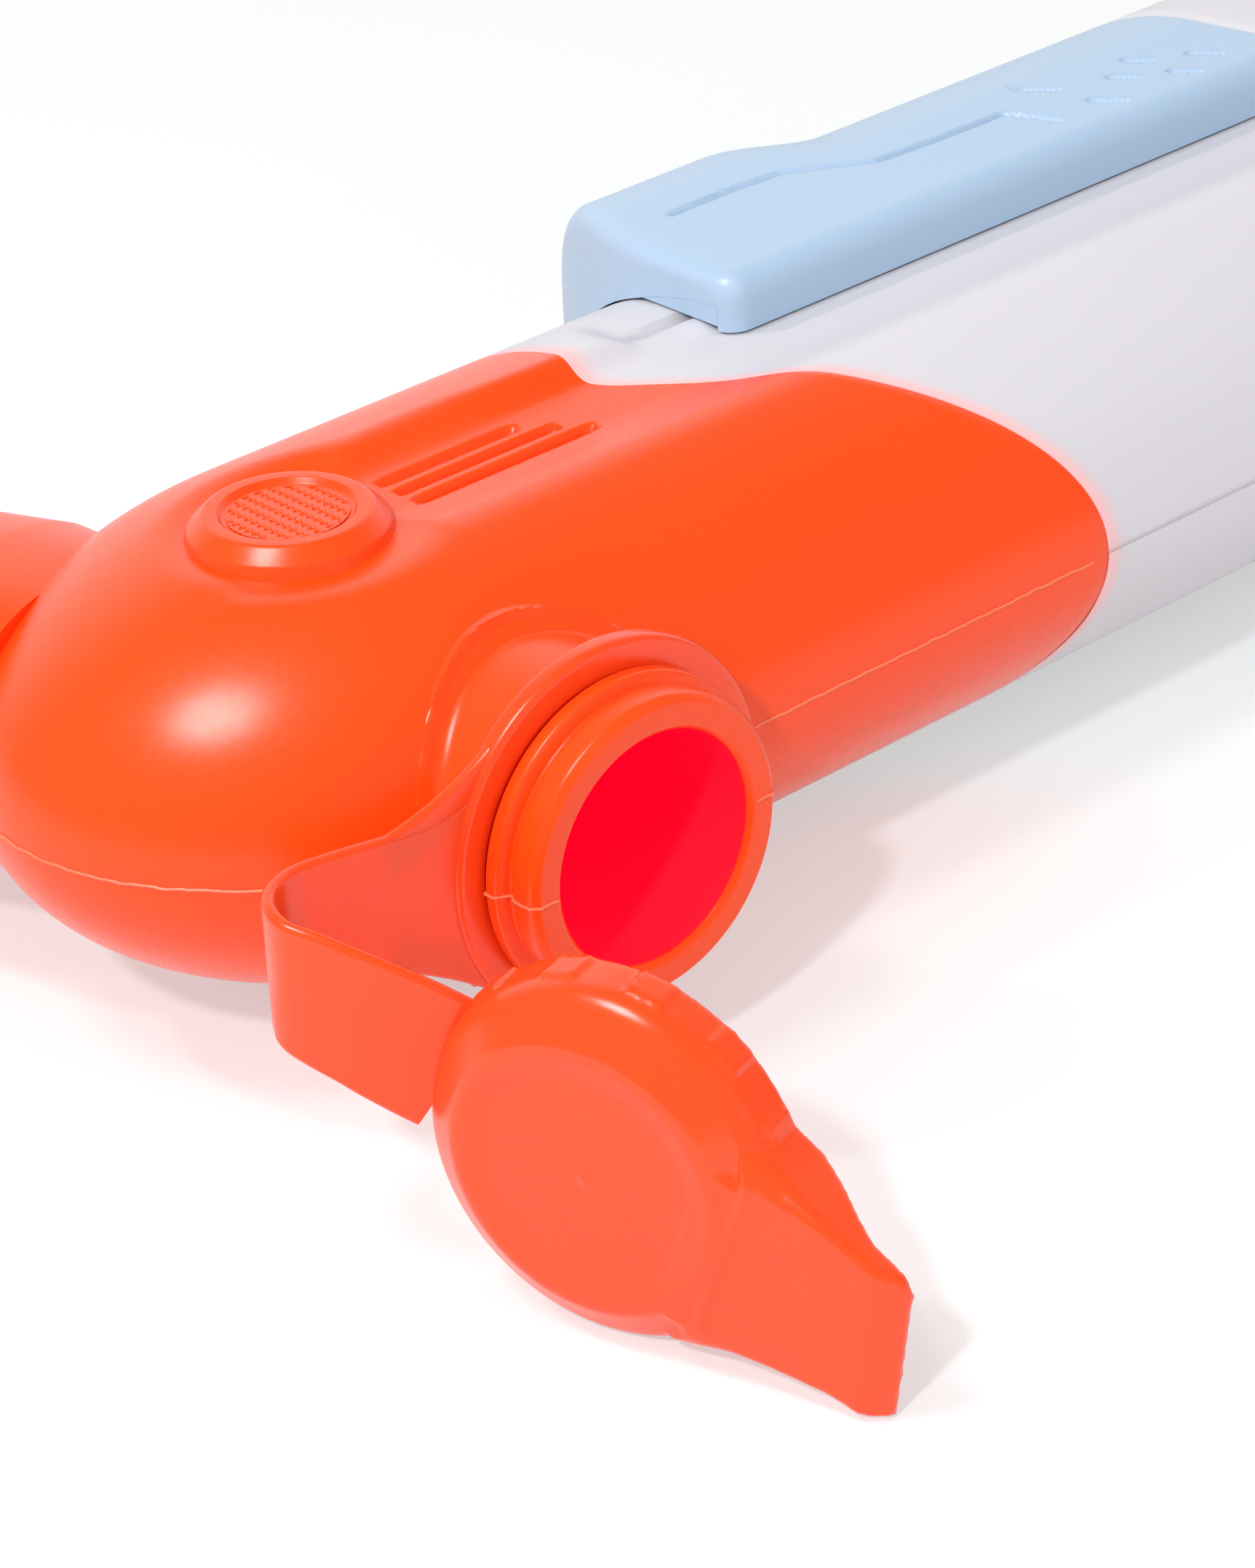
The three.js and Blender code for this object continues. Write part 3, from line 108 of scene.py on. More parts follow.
def smooth_min(a: float, b: float, k: float) -> float:
    """Returns the lower of two heights with the corner rounded over k."""
    h = max(0.0, min(1.0, 0.5 + 0.5 * (b - a) / k))
    return b + (a - b) * h - k * h * (1.0 - h)


def smooth_max(a: float, b: float, k: float) -> float:
    """Returns the higher of two heights with the corner rounded over k."""
    return -smooth_min(-a, -b, k)


def smooth_step(low: float, high: float, v: float) -> float:
    """Returns 0 below low, 1 above high and a soft ramp between."""
    t = max(0.0, min(1.0, (v - low) / (high - low)))
    return t * t * (3.0 - 2.0 * t)


def mix(a: float, b: float, t: float) -> float:
    """Returns the value a share t of the way from a to b."""
    return a + (b - a) * t


def curve(a: Vector, b: Vector, c: Vector, t: float) -> Vector:
    """Returns the place a share t along the curve from a to c that b bends."""
    return a * (1 - t) ** 2 + b * (2 * t * (1 - t)) + c * t * t


def fall(share: float) -> float:
    """Returns how far a quarter round of radius 1 has fallen at a share of its run."""
    return 1.0 - math.sqrt(max(0.0, 1.0 - share * share))


def quarter(steps: int) -> list[float]:
    """Returns the angles of a quarter turn, both ends included."""
    return [(math.pi / 2) * k / steps for k in range(steps + 1)]


def full_turn(steps: int) -> list[float]:
    """Returns the angles of a full turn, without its end."""
    return [2 * math.pi * k / steps for k in range(steps)]


def trench(away: float, width: float, depth: float, edge: Flat) -> float:
    """Finds the depth of a soft-edged trench.

    Args:
        away: Distance from the trench's middle line.
        width: Width of the trench.
        depth: Depth at the middle.
        edge: Where its side starts and ends, counted from half the width.

    Returns:
        The depth at that distance.
    """
    half = width / 2
    return depth * (1.0 - smooth_step(half + edge[0], half + edge[1], away))


def distance_to_path(x: float, y: float, path: list[Flat]) -> float:
    """Finds how far a plan point lies from a run of straight lines.

    Args:
        x: Place along the toy.
        y: Place across the toy.
        path: Corners of the run.

    Returns:
        The least distance.
    """
    best = 1e9
    for (ax, ay), (bx, by) in zip(path, path[1:]):
        dx, dy = bx - ax, by - ay
        length = dx * dx + dy * dy
        t = max(0.0, min(1.0, ((x - ax) * dx + (y - ay) * dy) / length))
        best = min(best, math.hypot(x - ax - t * dx, y - ay - t * dy))
    return best


def along_table(v: float, table: tuple[Flat, ...]) -> float:
    """Reads a table of places and values with straight lines between.

    Args:
        v: Place.
        table: Places in rising order, each with its value.

    Returns:
        The value at the place, held level past either end.
    """
    for (a, low), (b, high) in zip(table, table[1:]):
        if v <= b:
            return mix(low, high, max(0.0, (v - a) / (b - a)))
    return table[-1][1]


def rounded(corners: list[tuple[float, float, float]], closed: bool, steps: int = 5) -> list[Flat]:
    """Rounds the corners of an outline.

    Args:
        corners: Corner places with the radius of each.
        closed: Whether the last corner joins the first.
        steps: Straight pieces in each round.

    Returns:
        The points of the rounded outline.
    """
    points: list[Flat] = []
    count = len(corners)
    for i, (x, y, radius) in enumerate(corners):
        here = Vector((x, y))
        if radius <= 0.0 or (not closed and i in (0, count - 1)):
            points.append((x, y))
            continue
        back = Vector(corners[i - 1][:2]) - here
        ahead = Vector(corners[(i + 1) % count][:2]) - here
        half = back.angle(ahead) / 2.0
        reach = min(radius / math.tan(half), back.length * 0.49, ahead.length * 0.49)
        start, end = here + back.normalized() * reach, here + ahead.normalized() * reach
        for k in range(steps + 1):
            t = k / steps
            p = curve(start, here, end, t)
            points.append((p.x, p.y))
    return points


@dataclass
class Wiring:
    """Nodes of a material or of the world, with their links."""

    tree: NodeTree

    def add(self, kind: str, inputs: dict[str | int, object] | None = None, **settings: str) -> Node:
        """Adds a shader node.

        Args:
            kind: Type of the node without the common prefix.
            inputs: Values of its inputs, or the sockets that feed them.
            settings: Its properties.

        Returns:
            The node.
        """
        node = self.tree.nodes.new(f"ShaderNode{kind}")
        for name, value in settings.items():
            setattr(node, name, value)
        self.feed(node, inputs or {})
        return node

    def feed(self, node: Node, inputs: dict[str | int, object]) -> None:
        """Sets the inputs of a node, or links them where a socket is given."""
        for name, value in inputs.items():
            if isinstance(value, NodeSocket):
                self.tree.links.new(value, node.inputs[name])
            else:
                node.inputs[name].default_value = value

    def maths(self, operation: str, a: object, b: object) -> NodeSocket:
        """Adds a calculation with two values and returns its result."""
        return self.add("Math", {0: a, 1: b}, operation=operation).outputs["Value"]

    def blend(self, share: object, a: object, b: object, kind: str = "RGBA") -> NodeSocket:
        """Adds a mix of two values of a kind and returns its result."""
        return self.add("Mix", {"Factor": share, "A": a, "B": b}, data_type=kind).outputs["Result"]

    def ramp(self, value: object, span: Flat, levels: Flat, kind: str = "LINEAR") -> NodeSocket:
        """Adds a ramp from one level to another over a span and returns its result."""
        ends = {"From Min": span[0], "From Max": span[1], "To Min": levels[0], "To Max": levels[1]}
        return self.add("MapRange", {"Value": value, **ends}, interpolation_type=kind).outputs["Result"]

    def noise(self, scale: float, detail: float = 2.0) -> NodeSocket:
        """Adds a noise on the piece's own coordinates, with its scale per metre, and returns its value."""
        place = self.add("TexCoord").outputs["Object"]
        return self.add("TexNoise", {"Vector": place, "Scale": scale, "Detail": detail}).outputs["Fac"]


@dataclass(frozen=True)
class MouldedFinish:
    """Moulded plastic with a slow change of shade, fine surface texture and uneven gloss.

    The rim is painted light: a pink bleed of the orange tank's light into the thin white edge beside
    it, read from the piece's own attribute. The shine is a painted glow: an emission that stands in
    for the light that a thin wall lets through to its inner face.
    """

    name: str
    shade: Colour
    tint: Colour
    roughness: float
    texture_depth: float
    texture_scale: float = 900.0
    glow: float = 0.0
    glow_reach: float = 0.0015
    glow_colours: Colour = (1.0, 0.2, 0.1)
    index: float = 1.5
    # rim: painted light, a pink bleed of a neighbouring orange part, laid on along the edge attribute.
    rim: Colour | None = None
    # shine: painted glow, an emission that stands in for light let through a thin wall.
    shine: Colour | None = None
    cloud_scale: float = 22.0
    bump_height: float = 0.0003

    def make(self) -> Material:
        """Builds the material and returns it."""
        material = bpy.data.materials.new(self.name)
        material.use_nodes = True
        wiring = Wiring(material.node_tree)
        speck = wiring.noise(self.texture_scale, 4.0)
        colour = wiring.blend(wiring.noise(self.cloud_scale, 3.0), (*self.shade, 1.0), (*self.tint, 1.0))
        # Painted light: the rim colour, a pink bleed of the orange tank's light, is mixed in along the edge
        # attribute.
        if self.rim is not None:
            edge = wiring.add("Attribute", attribute_name=PAINTED_EDGE_LIGHT_ATTRIBUTE).outputs["Fac"]
            colour = wiring.blend(edge, colour, (*self.rim, 1.0))
        bump = wiring.add("Bump", {
            "Strength": self.texture_depth, "Distance": self.bump_height, "Height": speck})
        inputs = {
            "Base Color": colour, "IOR": self.index, "Normal": bump.outputs["Normal"],
            "Roughness": wiring.ramp(speck, (0.0, 1.0), (self.roughness - 0.05, self.roughness + 0.07)),
        }
        # Painted glow: the shine is an emission that paints on the light let through the wall.
        if self.shine is not None:
            inputs |= {"Emission Color": (*self.shine, 1.0), "Emission Strength": 1.0}
        if self.glow > 0.0:
            inputs |= {"Subsurface Weight": self.glow, "Subsurface Radius": self.glow_colours,
                       "Subsurface Scale": self.glow_reach}
        wiring.feed(wiring.tree.nodes["Principled BSDF"], inputs)
        return material


@dataclass(frozen=True)
class MetalFinish:
    """Plain steel with fine drawn marks."""

    name: str
    shade: Colour
    roughness: float
    mark_scale: float = 1800.0

    def make(self) -> Material:
        """Builds the material and returns it."""
        material = bpy.data.materials.new(self.name)
        material.use_nodes = True
        wiring = Wiring(material.node_tree)
        gloss = (self.roughness - 0.08, self.roughness + 0.1)
        wiring.feed(wiring.tree.nodes["Principled BSDF"], {
            "Base Color": (*self.shade, 1.0), "Metallic": 1.0,
            "Roughness": wiring.ramp(wiring.noise(self.mark_scale), (0.0, 1.0), gloss),
        })
        return material


@dataclass
class FinishRack:
    """Every finish on the toy, made once."""

    tank: Material = field(default_factory=MouldedFinish(
        "blown_orange", (1.0, 0.078, 0.004), (1.0, 0.07, 0.006), 0.27, 0.03, 1300.0, index=1.43).make)
    # The inside is painted light: a deep red and a glowing emission stand in for light coming through the
    # thin orange wall.
    inside: Material = field(default_factory=MouldedFinish(
        "painted_glow_inside", (1.0, 0.02, 0.02), (1.0, 0.012, 0.025), 0.4, 0.1, shine=(0.5, 0.0, 0.016)).make)
    # The flash is painted paler and pinker than the tank, a painted glint along the parting line.
    flash: Material = field(default_factory=MouldedFinish(
        "seam_flash", (1.0, 0.24, 0.12), (1.0, 0.18, 0.08), 0.4, 0.2).make)
    soft: Material = field(default_factory=MouldedFinish(
        "soft_orange", (1.0, 0.078, 0.008), (1.0, 0.066, 0.014), 0.23, 0.04, 700.0, 0.15).make)
    # The rim colour is painted pink light bled from the orange tank into the white next to it.
    casing: Material = field(default_factory=MouldedFinish(
        "casing_white", (0.71, 0.685, 0.72), (0.69, 0.67, 0.715), 0.4, 0.03, 1600.0, 0.06,
        rim=(1.0, 0.5, 0.5)).make)
    handle: Material = field(default_factory=MouldedFinish(
        "handle_blue", (0.43, 0.575, 0.75), (0.415, 0.565, 0.75), 0.36, 0.03, 1600.0, 0.06).make)
    natural: Material = field(default_factory=MouldedFinish(
        "natural_plastic", (0.84, 0.82, 0.75), (0.8, 0.78, 0.7), 0.5, 0.1).make)
    clear: Material = field(default_factory=MouldedFinish(
        "tube_plastic", (0.74, 0.8, 0.82), (0.7, 0.78, 0.8), 0.2, 0.05).make)
    seal: Material = field(default_factory=MouldedFinish(
        "seal_rubber", (0.02, 0.02, 0.022), (0.03, 0.03, 0.032), 0.7, 0.3).make)
    steel: Material = field(default_factory=MetalFinish(
        "plain_steel", (0.56, 0.57, 0.58), 0.32).make)


class Bench:
    """Makes finished pieces of the scene from bmeshes in toy millimetres."""

    @staticmethod
    def loft(rings: list[list[Vector]], caps: tuple[bool, bool] = (False, False)) -> BMesh:
        """Draws a skin through rings by extruding a circle from one to the next.

        Args:
            rings: Rings of equal count.
            caps: Whether the first and the last ring are closed by a face.

        Returns:
            The skin.
        """
        bm = bmesh.new()
        bmesh.ops.create_circle(bm, cap_ends=False, segments=len(rings[0]), radius=1.0)
        order = bm.verts.layers.int.new("order")
        bm.verts.ensure_lookup_table()
        for i, vert in enumerate(bm.verts):
            vert[order] = i
            vert.co = rings[0][i]
        edges = bm.edges[:]
        if caps[0]:
            bmesh.ops.contextual_create(bm, geom=edges)
        for ring in rings[1:]:
            made = bmesh.ops.extrude_edge_only(bm, edges=edges)["geom"]
            fresh = {item for item in made if isinstance(item, BMVert)}
            for vert in fresh:
                vert.co = ring[vert[order]]
            edges = [e for e in made if isinstance(e, BMEdge) and all(v in fresh for v in e.verts)]
        if caps[1]:
            bmesh.ops.contextual_create(bm, geom=edges)
        bmesh.ops.recalc_face_normals(bm, faces=bm.faces)
        return bm

    @staticmethod
    def spun(profile: list[Flat], steps: int, closed: bool = True) -> BMesh:
        """Turns a profile of radius and height about Z.

        Args:
            profile: Points of radius and height.
            steps: Faces round the turn.
            closed: Whether the profile joins itself.

        Returns:
            The turned skin.
        """
        bm = bmesh.new()
        verts = [bm.verts.new((r, 0.0, z)) for r, z in profile]
        edges = [bm.edges.new(pair) for pair in zip(verts, verts[1:])]
        if closed:
            edges.append(bm.edges.new((verts[-1], verts[0])))
        bmesh.ops.spin(
            bm, geom=verts + edges, cent=(0, 0, 0), axis=(0, 0, 1), dvec=(0, 0, 0),
            angle=2 * math.pi, steps=steps, use_merge=True)
        return Bench.welded(bm)

    @staticmethod
    def welded(bm: BMesh) -> BMesh:
        """Joins the vertices of a skin that meet, turns its faces out and returns it."""
        bmesh.ops.remove_doubles(bm, verts=bm.verts, dist=WELD)
        bmesh.ops.recalc_face_normals(bm, faces=bm.faces)
        return bm

    @staticmethod
    def faced(rings: list[list[Vector]], side: Side) -> list[list[Vector]]:
        """Returns rings of the left side, mirrored for the right one."""
        return [[Vector((p.x, p.y, side.value * p.z)) for p in ring] for ring in rings]

    @staticmethod
    def placed(bm: BMesh, name: str) -> Object:
        """Makes a bmesh an object of the scene and returns it."""
        mesh = bpy.data.meshes.new(name)
        bm.to_mesh(mesh)
        bm.free()
        item = bpy.data.objects.new(name, mesh)
        bpy.context.scene.collection.objects.link(item)
        return item

    @staticmethod
    def shaded(mesh: Mesh, angle: float) -> None:
        """Shades a mesh smooth but for the edges sharper than an angle in degrees."""
        mesh.shade_smooth()
        mesh.set_sharp_from_angle(angle=math.radians(angle))

    @staticmethod
    def moved(bm: BMesh, matrix: Matrix) -> BMesh:
        """Moves a whole bmesh and returns it."""
        bmesh.ops.transform(bm, matrix=matrix, verts=bm.verts)
        return bm

    @staticmethod
    def joined(parts: list[BMesh]) -> BMesh:
        """Puts several bmeshes into one and returns it."""
        whole = bmesh.new()
        for part in parts:
            mesh = bpy.data.meshes.new("part")
            part.to_mesh(mesh)
            part.free()
            whole.from_mesh(mesh)
            bpy.data.meshes.remove(mesh)
        return whole

    @staticmethod
    def tube(points: list[Vector], radius: float, sides: int = 6) -> BMesh:
        """Draws a thin round bead along a run of places.

        Args:
            points: The run.
            radius: Radius of the bead.
            sides: Faces round it.

        Returns:
            The bead with closed ends.
        """
        rings = []
        for i, p in enumerate(points):
            along = (points[min(i + 1, len(points) - 1)] - points[max(i - 1, 0)]).normalized()
            across = along.orthogonal() if i == 0 else across - along * across.dot(along)
            across.normalize()
            up = along.cross(across)
            circle = [(radius * math.cos(a), radius * math.sin(a)) for a in full_turn(sides)]
            rings.append([p + across * u + up * v for u, v in circle])
        return Bench.loft(rings, (True, True))

    @staticmethod
    def piece(
        bm: BMesh, name: str, finish: Material, body: Body | None, slot: str,
        stands_for: tuple[str, ...] = (), angle: float = 38.0,
    ) -> Object:
        """Makes the object of a piece, dresses it and hangs it on its body.

        Args:
            bm: Shape in toy millimetres.
            name: Piece name.
            finish: Its material.
            body: Body that carries it, or none to leave it on no body.
            slot: Material slot of the record; not used.
            stands_for: Solids that it is shown for.
            angle: Edges sharper than this stay sharp.

        Returns:
            The object.
        """
        item = Bench.placed(Bench.moved(bm, TO_ROW), name)
        Bench.shaded(item.data, angle)
        item.data.materials.append(finish)
        if body is not None:
            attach(item, body.value)
        if stands_for:
            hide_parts(*stands_for)
        LOG.info("%s: %d faces", name, len(item.data.polygons))
        return item

    @staticmethod
    def thicken(item: Object, wall: float, inner_finish: int = 0) -> None:
        """Gives a skin its wall on the inner side, with the numbered finish there."""
        shell = item.modifiers.new("wall", "SOLIDIFY")
        shell.thickness = wall * MM
        shell.offset = -1.0
        shell.material_offset = inner_finish

    @staticmethod
    def baked(item: Object, angle: float = 38.0) -> None:
        """Applies the modifiers of a piece and shades it again."""
        view = bpy.context.evaluated_depsgraph_get()
        mesh = bpy.data.meshes.new_from_object(item.evaluated_get(view))
        old = item.data
        item.modifiers.clear()
        item.data = mesh
        mesh.name = old.name
        bpy.data.meshes.remove(old)
        Bench.shaded(mesh, angle)


@dataclass
class Barrel:
    """Oval form that the tank and the casing share, with the sunk track on each flank."""

    half_height: float = 33.0
    half_width: float = 23.3
    dome: float = 40.0
    nose_start: float = 150.0
    muzzle_x: float = 196.0
    muzzle_radius: float = 13.5
    muzzle_y: float = 4.0
    joint_top: float = 72.0
    joint_low: float = 35.0
    track_low: float = 3.3
    track_floor: float = 20.4
    track_front: float = 162.0
    near_foot: float = -6.8
    near_slope: float = 2.0
    near_soft: float = 2.2
    far_foot: float = 4.6
    far_slope: float = 1.4
    boss_x: float = -6.0
    pan_radius: float = 11.3
    pan_slope: float = 1.7
    around: int = 288
    crowding: float = 0.36
    bow_limit: float = 0.97
    joint_soft: float = 3.0
    far_change: Flat = (16.0, 32.0)
    near_change: Flat = (-2.0, -7.0)
    flank_start: float = 12.0
    least: float = 0.02

    def turns(self) -> list[float]:
        """Returns angles round the section, closer together on the flanks."""
        return [u + self.crowding * math.sin(2 * u) for u in full_turn(self.around)]

    def fronts(self) -> list[float]:
        """Returns x of the joint at each angle round the section."""
        return [self.joint(self.half_height * math.cos(t)) for t in self.turns()]

    def section(self, x: float) -> tuple[float, float, float]:
        """Returns half height, half width and the shift of the middle at x."""
        if x < 0.0:
            size = math.sqrt(max(0.0, 1.0 - (x / self.dome) ** 2))
            return self.half_height * size, self.half_width * size, 0.0
        t = max(0.0, min(1.0, (x - self.nose_start) / (self.muzzle_x - self.nose_start)))
        bow = (1.0 - math.sqrt(1.0 - min(t * t, self.bow_limit))) / (1.0 - math.sqrt(1.0 - self.bow_limit))
        height = mix(self.half_height, self.muzzle_radius, bow)
        width = mix(self.half_width, self.muzzle_radius, bow)
        return height, width, self.muzzle_y * t * t

    def joint(self, y: float) -> float:
        """Returns x of the line where the tank meets the casing."""
        share = (self.track_low - y) / (self.track_low + self.half_height)
        return smooth_max(self.joint_low, mix(self.joint_low, self.joint_top, share), self.joint_soft)

    def sunk(self, x: float, y: float, z: float, soft: float, slope: float) -> float:
        """Lowers a flank's height into the track.

        Args:
            x: Place along the toy.
            y: Place across the toy.
            z: Height of the plain oval, on either flank.
            soft: Rounding of the track's edges.
            slope: Run of the track's side for each unit of rise.

        Returns:
            The height with the track in it.
        """
        near = (self.near_foot - y) / self.near_slope
        far = (y - self.far_foot) / mix(self.far_slope, slope, smooth_step(*self.far_change, x))
        strip = max(near, far, (self.boss_x - x) / slope, (x - self.track_front) / slope)
        pan = (math.hypot(x - self.boss_x, y) - self.pan_radius) / self.pan_slope
        rise = smooth_max(0.0, min(strip, pan), soft)
        crest = soft * mix(1.0, self.near_soft, smooth_step(*self.near_change, y))
        return math.copysign(smooth_min(abs(z), self.track_floor + rise, crest), z)

    def point(self, x: float, turn: float, inset: float, soft: float, slope: float) -> Vector:
        """Returns a place on the form, drawn in by an inset."""
        height, width, shift = self.section(x)
        y = shift + max(height - inset, self.least) * math.cos(turn)
        z = max(width - inset, self.least) * math.sin(turn)
        if abs(z) > self.flank_start:
            z = self.sunk(x, y, z, soft, slope)
        return Vector((x, y, z))


@dataclass
class Tank:
    """Blow-moulded tank with its filler neck, vent bosses, grip and seam flash."""

    barrel: Barrel
    rack: FinishRack
    wall: float = 2.2
    edge_soft: float = 1.5
    side_slope: float = 0.85
    lip_round: float = 0.2
    spigot: float = 2.5
    spigot_gap: float = 0.35
    pole: float = 1.5705
    dome_steps: int = 56
    middle_end: float = 30.0
    middle_steps: int = 60
    front_steps: int = 34
    groove_zone: float = 40.0
    groove_edge: Flat = (-0.4, 0.05)
    groove_lengths: tuple[float, ...] = (17.8, 21.0, 23.5)
    groove_start: float = 6.0
    groove_first_y: float = 1.6
    groove_pitch: float = 2.83
    groove_width: float = 1.75
    groove_depth: float = 1.1
    neck_radius: float = 15.0
    neck_bore: float = 11.6
    neck_side: float = -20.0
    root_top: float = 34.55
    root_round: float = 2.0
    boss_radius: float = 9.9
    boss_height: float = 2.5
    disc_radius: float = 6.3
    disc_drop: float = 0.6
    disc_lift: float = 0.15
    disc_grid: int = 120
    dot_pitch: Flat = (1.45, 1.0)
    dot_depth: float = 0.55
    dot_edge: Flat = (0.2, 0.42)
    grip_rake: float = math.radians(13)
    grip_front: float = -5.0
    grip_depth: float = 17.5
    grip_width: float = 14.5
    grip_length: float = 72.0
    grip_end_round: float = 7.0
    grip_root: Flat = (-5.0, 9.0)
    grip_flare: float = 1.2
    grip_square: float = 0.8
    grip_swell: float = 0.02
    grip_wave: float = 0.12
    flash_radius: float = 0.15
    flash_shake: tuple[Flat, ...] = ((0.16, 0.55), (0.1, 2.1))
    flash_neck: tuple[Flat, ...] = (
        (17.2, 33.0), (15.9, 33.4), (15.25, 34.5), (15.05, 35.0), (15.05, 37.6), (16.06, 37.9),
        (16.06, 39.2), (14.7, 39.9), (14.7, 40.3), (15.15, 40.8), (15.15, 43.0), (14.4, 43.72),
        (11.9, 43.72),
    )
    flash_out: float = 0.03
    flash_lift: float = 0.02

    def build(self) -> None:
        """Builds every piece of the tank."""
        self.shell()
        self.neck()
        self.bosses()
        self.grip()
        self.flash()

    def grooves(self, x: float, y: float) -> float:
        """Returns the depth of the long grooves at a plan place."""
        depth = 0.0
        half = self.groove_width / 2
        for i, length in enumerate(self.groove_lengths):
            gy = self.groove_first_y - i * self.groove_pitch
            run = [(self.groove_start + half, gy), (self.groove_start + length - half, gy)]
            away = distance_to_path(x, y, run)
            depth = max(depth, trench(away, self.groove_width, self.groove_depth, self.groove_edge))
        return depth

    def shell(self) -> Object:
        """Builds the barrel from its rear pole to the joint and returns it."""
        form = self.barrel
        turns, fronts = form.turns(), form.fronts()
        stations = []
        for i in range(self.dome_steps):
            a = (math.pi / 2) * (1.0 - i / self.dome_steps)
            stations.append(-form.dome * math.sin(min(a, self.pole)))
        stations += [self.middle_end * i / self.middle_steps for i in range(self.middle_steps + 1)]
        rings = [[self.skin(x, t, 0.0) for t in turns] for x in stations]
        for i in range(1, self.front_steps + 1):
            ring = []
            for front, t in zip(fronts, turns):
                x = mix(self.middle_end, front, i / self.front_steps)
                lip = max(0.0, 1.0 - (front - x) / self.lip_round)
                ring.append(self.skin(x, t, self.lip_round * fall(lip)))
            rings.append(ring)
        inset = self.wall + self.spigot_gap
        for reach in (0.0, self.spigot):
            rings.append([self.skin(f + reach, t, inset) for f, t in zip(fronts, turns)])
        bm = Bench.loft(rings, (True, False))
        hole = [f for f in bm.faces if self.under_neck(f.calc_center_median())]
        bmesh.ops.delete(bm, geom=hole, context="FACES")
        item = Bench.piece(bm, "tank_shell", self.rack.tank, Body.MAIN, "tank", ("tank",), 60.0)
        # The inner faces of the wall get the painted red glow.
        item.data.materials.append(self.rack.inside)
        Bench.thicken(item, self.wall, 1)
        return item

    def under_neck(self, p: Vector) -> bool:
        """Tells whether a place of the skin lies under the neck's wall or bore."""
        return p.y < self.neck_side and math.hypot(p.x, p.z) < (self.neck_radius + self.neck_bore) / 2

    def skin(self, x: float, turn: float, inset: float) -> Vector:
        """Returns a place of the tank's outer skin with its grooves."""
        p = self.barrel.point(x, turn, inset, self.edge_soft, self.side_slope)
        if abs(p.z) > FLANK_HEIGHT and 0.0 < x < self.groove_zone:
            p.z -= math.copysign(self.grooves(x, p.y), p.z)
        return p

    def neck(self) -> Object:
        """Builds the filler neck with its soft root, bead, groove and lip, and returns it."""
        r, b = self.neck_radius, self.neck_bore
        corners = [
            (b, 19.0, 0.0), (r, 19.0, 0.0), *((r + 0.2, 20.0 + 0.35 * i, 0.0) for i in range(41)),
            (r + 0.2, 34.5, 0.0), (r, 34.6, 0.0), (r, 37.7, 0.4), (r + 1.0, 37.8, 0.5),
            (r + 1.0, 39.4, 0.5), (r - 0.4, 39.8, 0.3), (r - 0.4, 40.3, 0.3), (r + 0.1, 40.7, 0.3),
            (r + 0.1, 43.0, 0.7), (r - 0.6, 43.7, 0.5), (b + 0.5, 43.7, 0.5), (b, 43.2, 0.4),
        ]
        bm = Bench.spun(rounded(corners, True), 144)
        Bench.moved(bm, Matrix.Rotation(math.pi / 2, 4, "X"))
        for vert in bm.verts:
            out = math.hypot(vert.co.x, vert.co.z)
            if out > r and -vert.co.y < self.root_top:
                grow = self.root_fillet(vert.co.x / out, vert.co.z / out, -vert.co.y)
                vert.co.x *= 1.0 + grow / out
                vert.co.z *= 1.0 + grow / out
        # The bore's faces get the painted red glow of light through the wall.
        for face in bm.faces:
            middle = face.calc_center_median()
            face.material_index = int(math.hypot(middle.x, middle.z) < b + 0.05 and middle.y > -43.0)
        item = Bench.piece(bm, "filler_neck", self.rack.tank, Body.MAIN, "tank")
        item.data.materials.append(self.rack.inside)
        return item

    def root_fillet(self, cos: float, sin: float, height: float) -> float:
        """Finds how far the neck's root swells towards the barrel.

        Args:
            cos: Way round the neck, along the toy.
            sin: Way round the neck, across the toy.
            height: Height on the neck.

        Returns:
            The swell outwards.
        """
        away = self.neck_radius + 1.5
        high, wide, _ = self.barrel.section(away * cos)
        foot = high * math.sqrt(max(0.0, 1.0 - (away * sin / wide) ** 2))
        over = max(0.0, min(1.0, (height - foot) / self.root_round))
        return self.root_round * fall(1.0 - over)

    def bosses(self) -> None:
        """Builds the round boss on each flank with its dimpled disc."""
        foot = self.barrel.track_floor - 1.0
        top = self.barrel.track_floor + self.boss_height
        corners = [
            (0.0, foot, 0.0), (self.boss_radius + 0.5, foot, 0.0), (self.boss_radius, foot + 1.6, 0.4),
            (self.boss_radius - 0.1, top - 1.5, 0.7), (self.boss_radius - 1.7, top, 0.8),
            (self.disc_radius + 0.5, top, 0.3), (self.disc_radius, top - self.disc_drop, 0.3),
            (0.0, top - self.disc_drop, 0.0),
        ]
        for side in Side:
            rim = Bench.spun(rounded(corners, False), 112, closed=False)
            dots = bmesh.new()
            bmesh.ops.create_grid(
                dots, x_segments=self.disc_grid, y_segments=self.disc_grid, size=self.disc_radius - 0.2)
            for vert in dots.verts:
                vert.co.z = top - self.disc_drop + self.disc_lift - self.dimple(vert.co.x, vert.co.y)
            outside = [v for v in dots.verts if math.hypot(v.co.x, v.co.y) > self.disc_radius - 0.3]
            bmesh.ops.delete(dots, geom=outside, context="VERTS")
            bm = Bench.joined([rim, dots])
            place = Matrix.Translation((self.barrel.boss_x, 0, 0))
            Bench.moved(bm, place @ Matrix.Diagonal((1, 1, side.value, 1)))
            bmesh.ops.recalc_face_normals(bm, faces=bm.faces)
            Bench.piece(bm, f"vent_boss_{side.name.lower()}", self.rack.tank, Body.MAIN, "tank", (), 55.0)

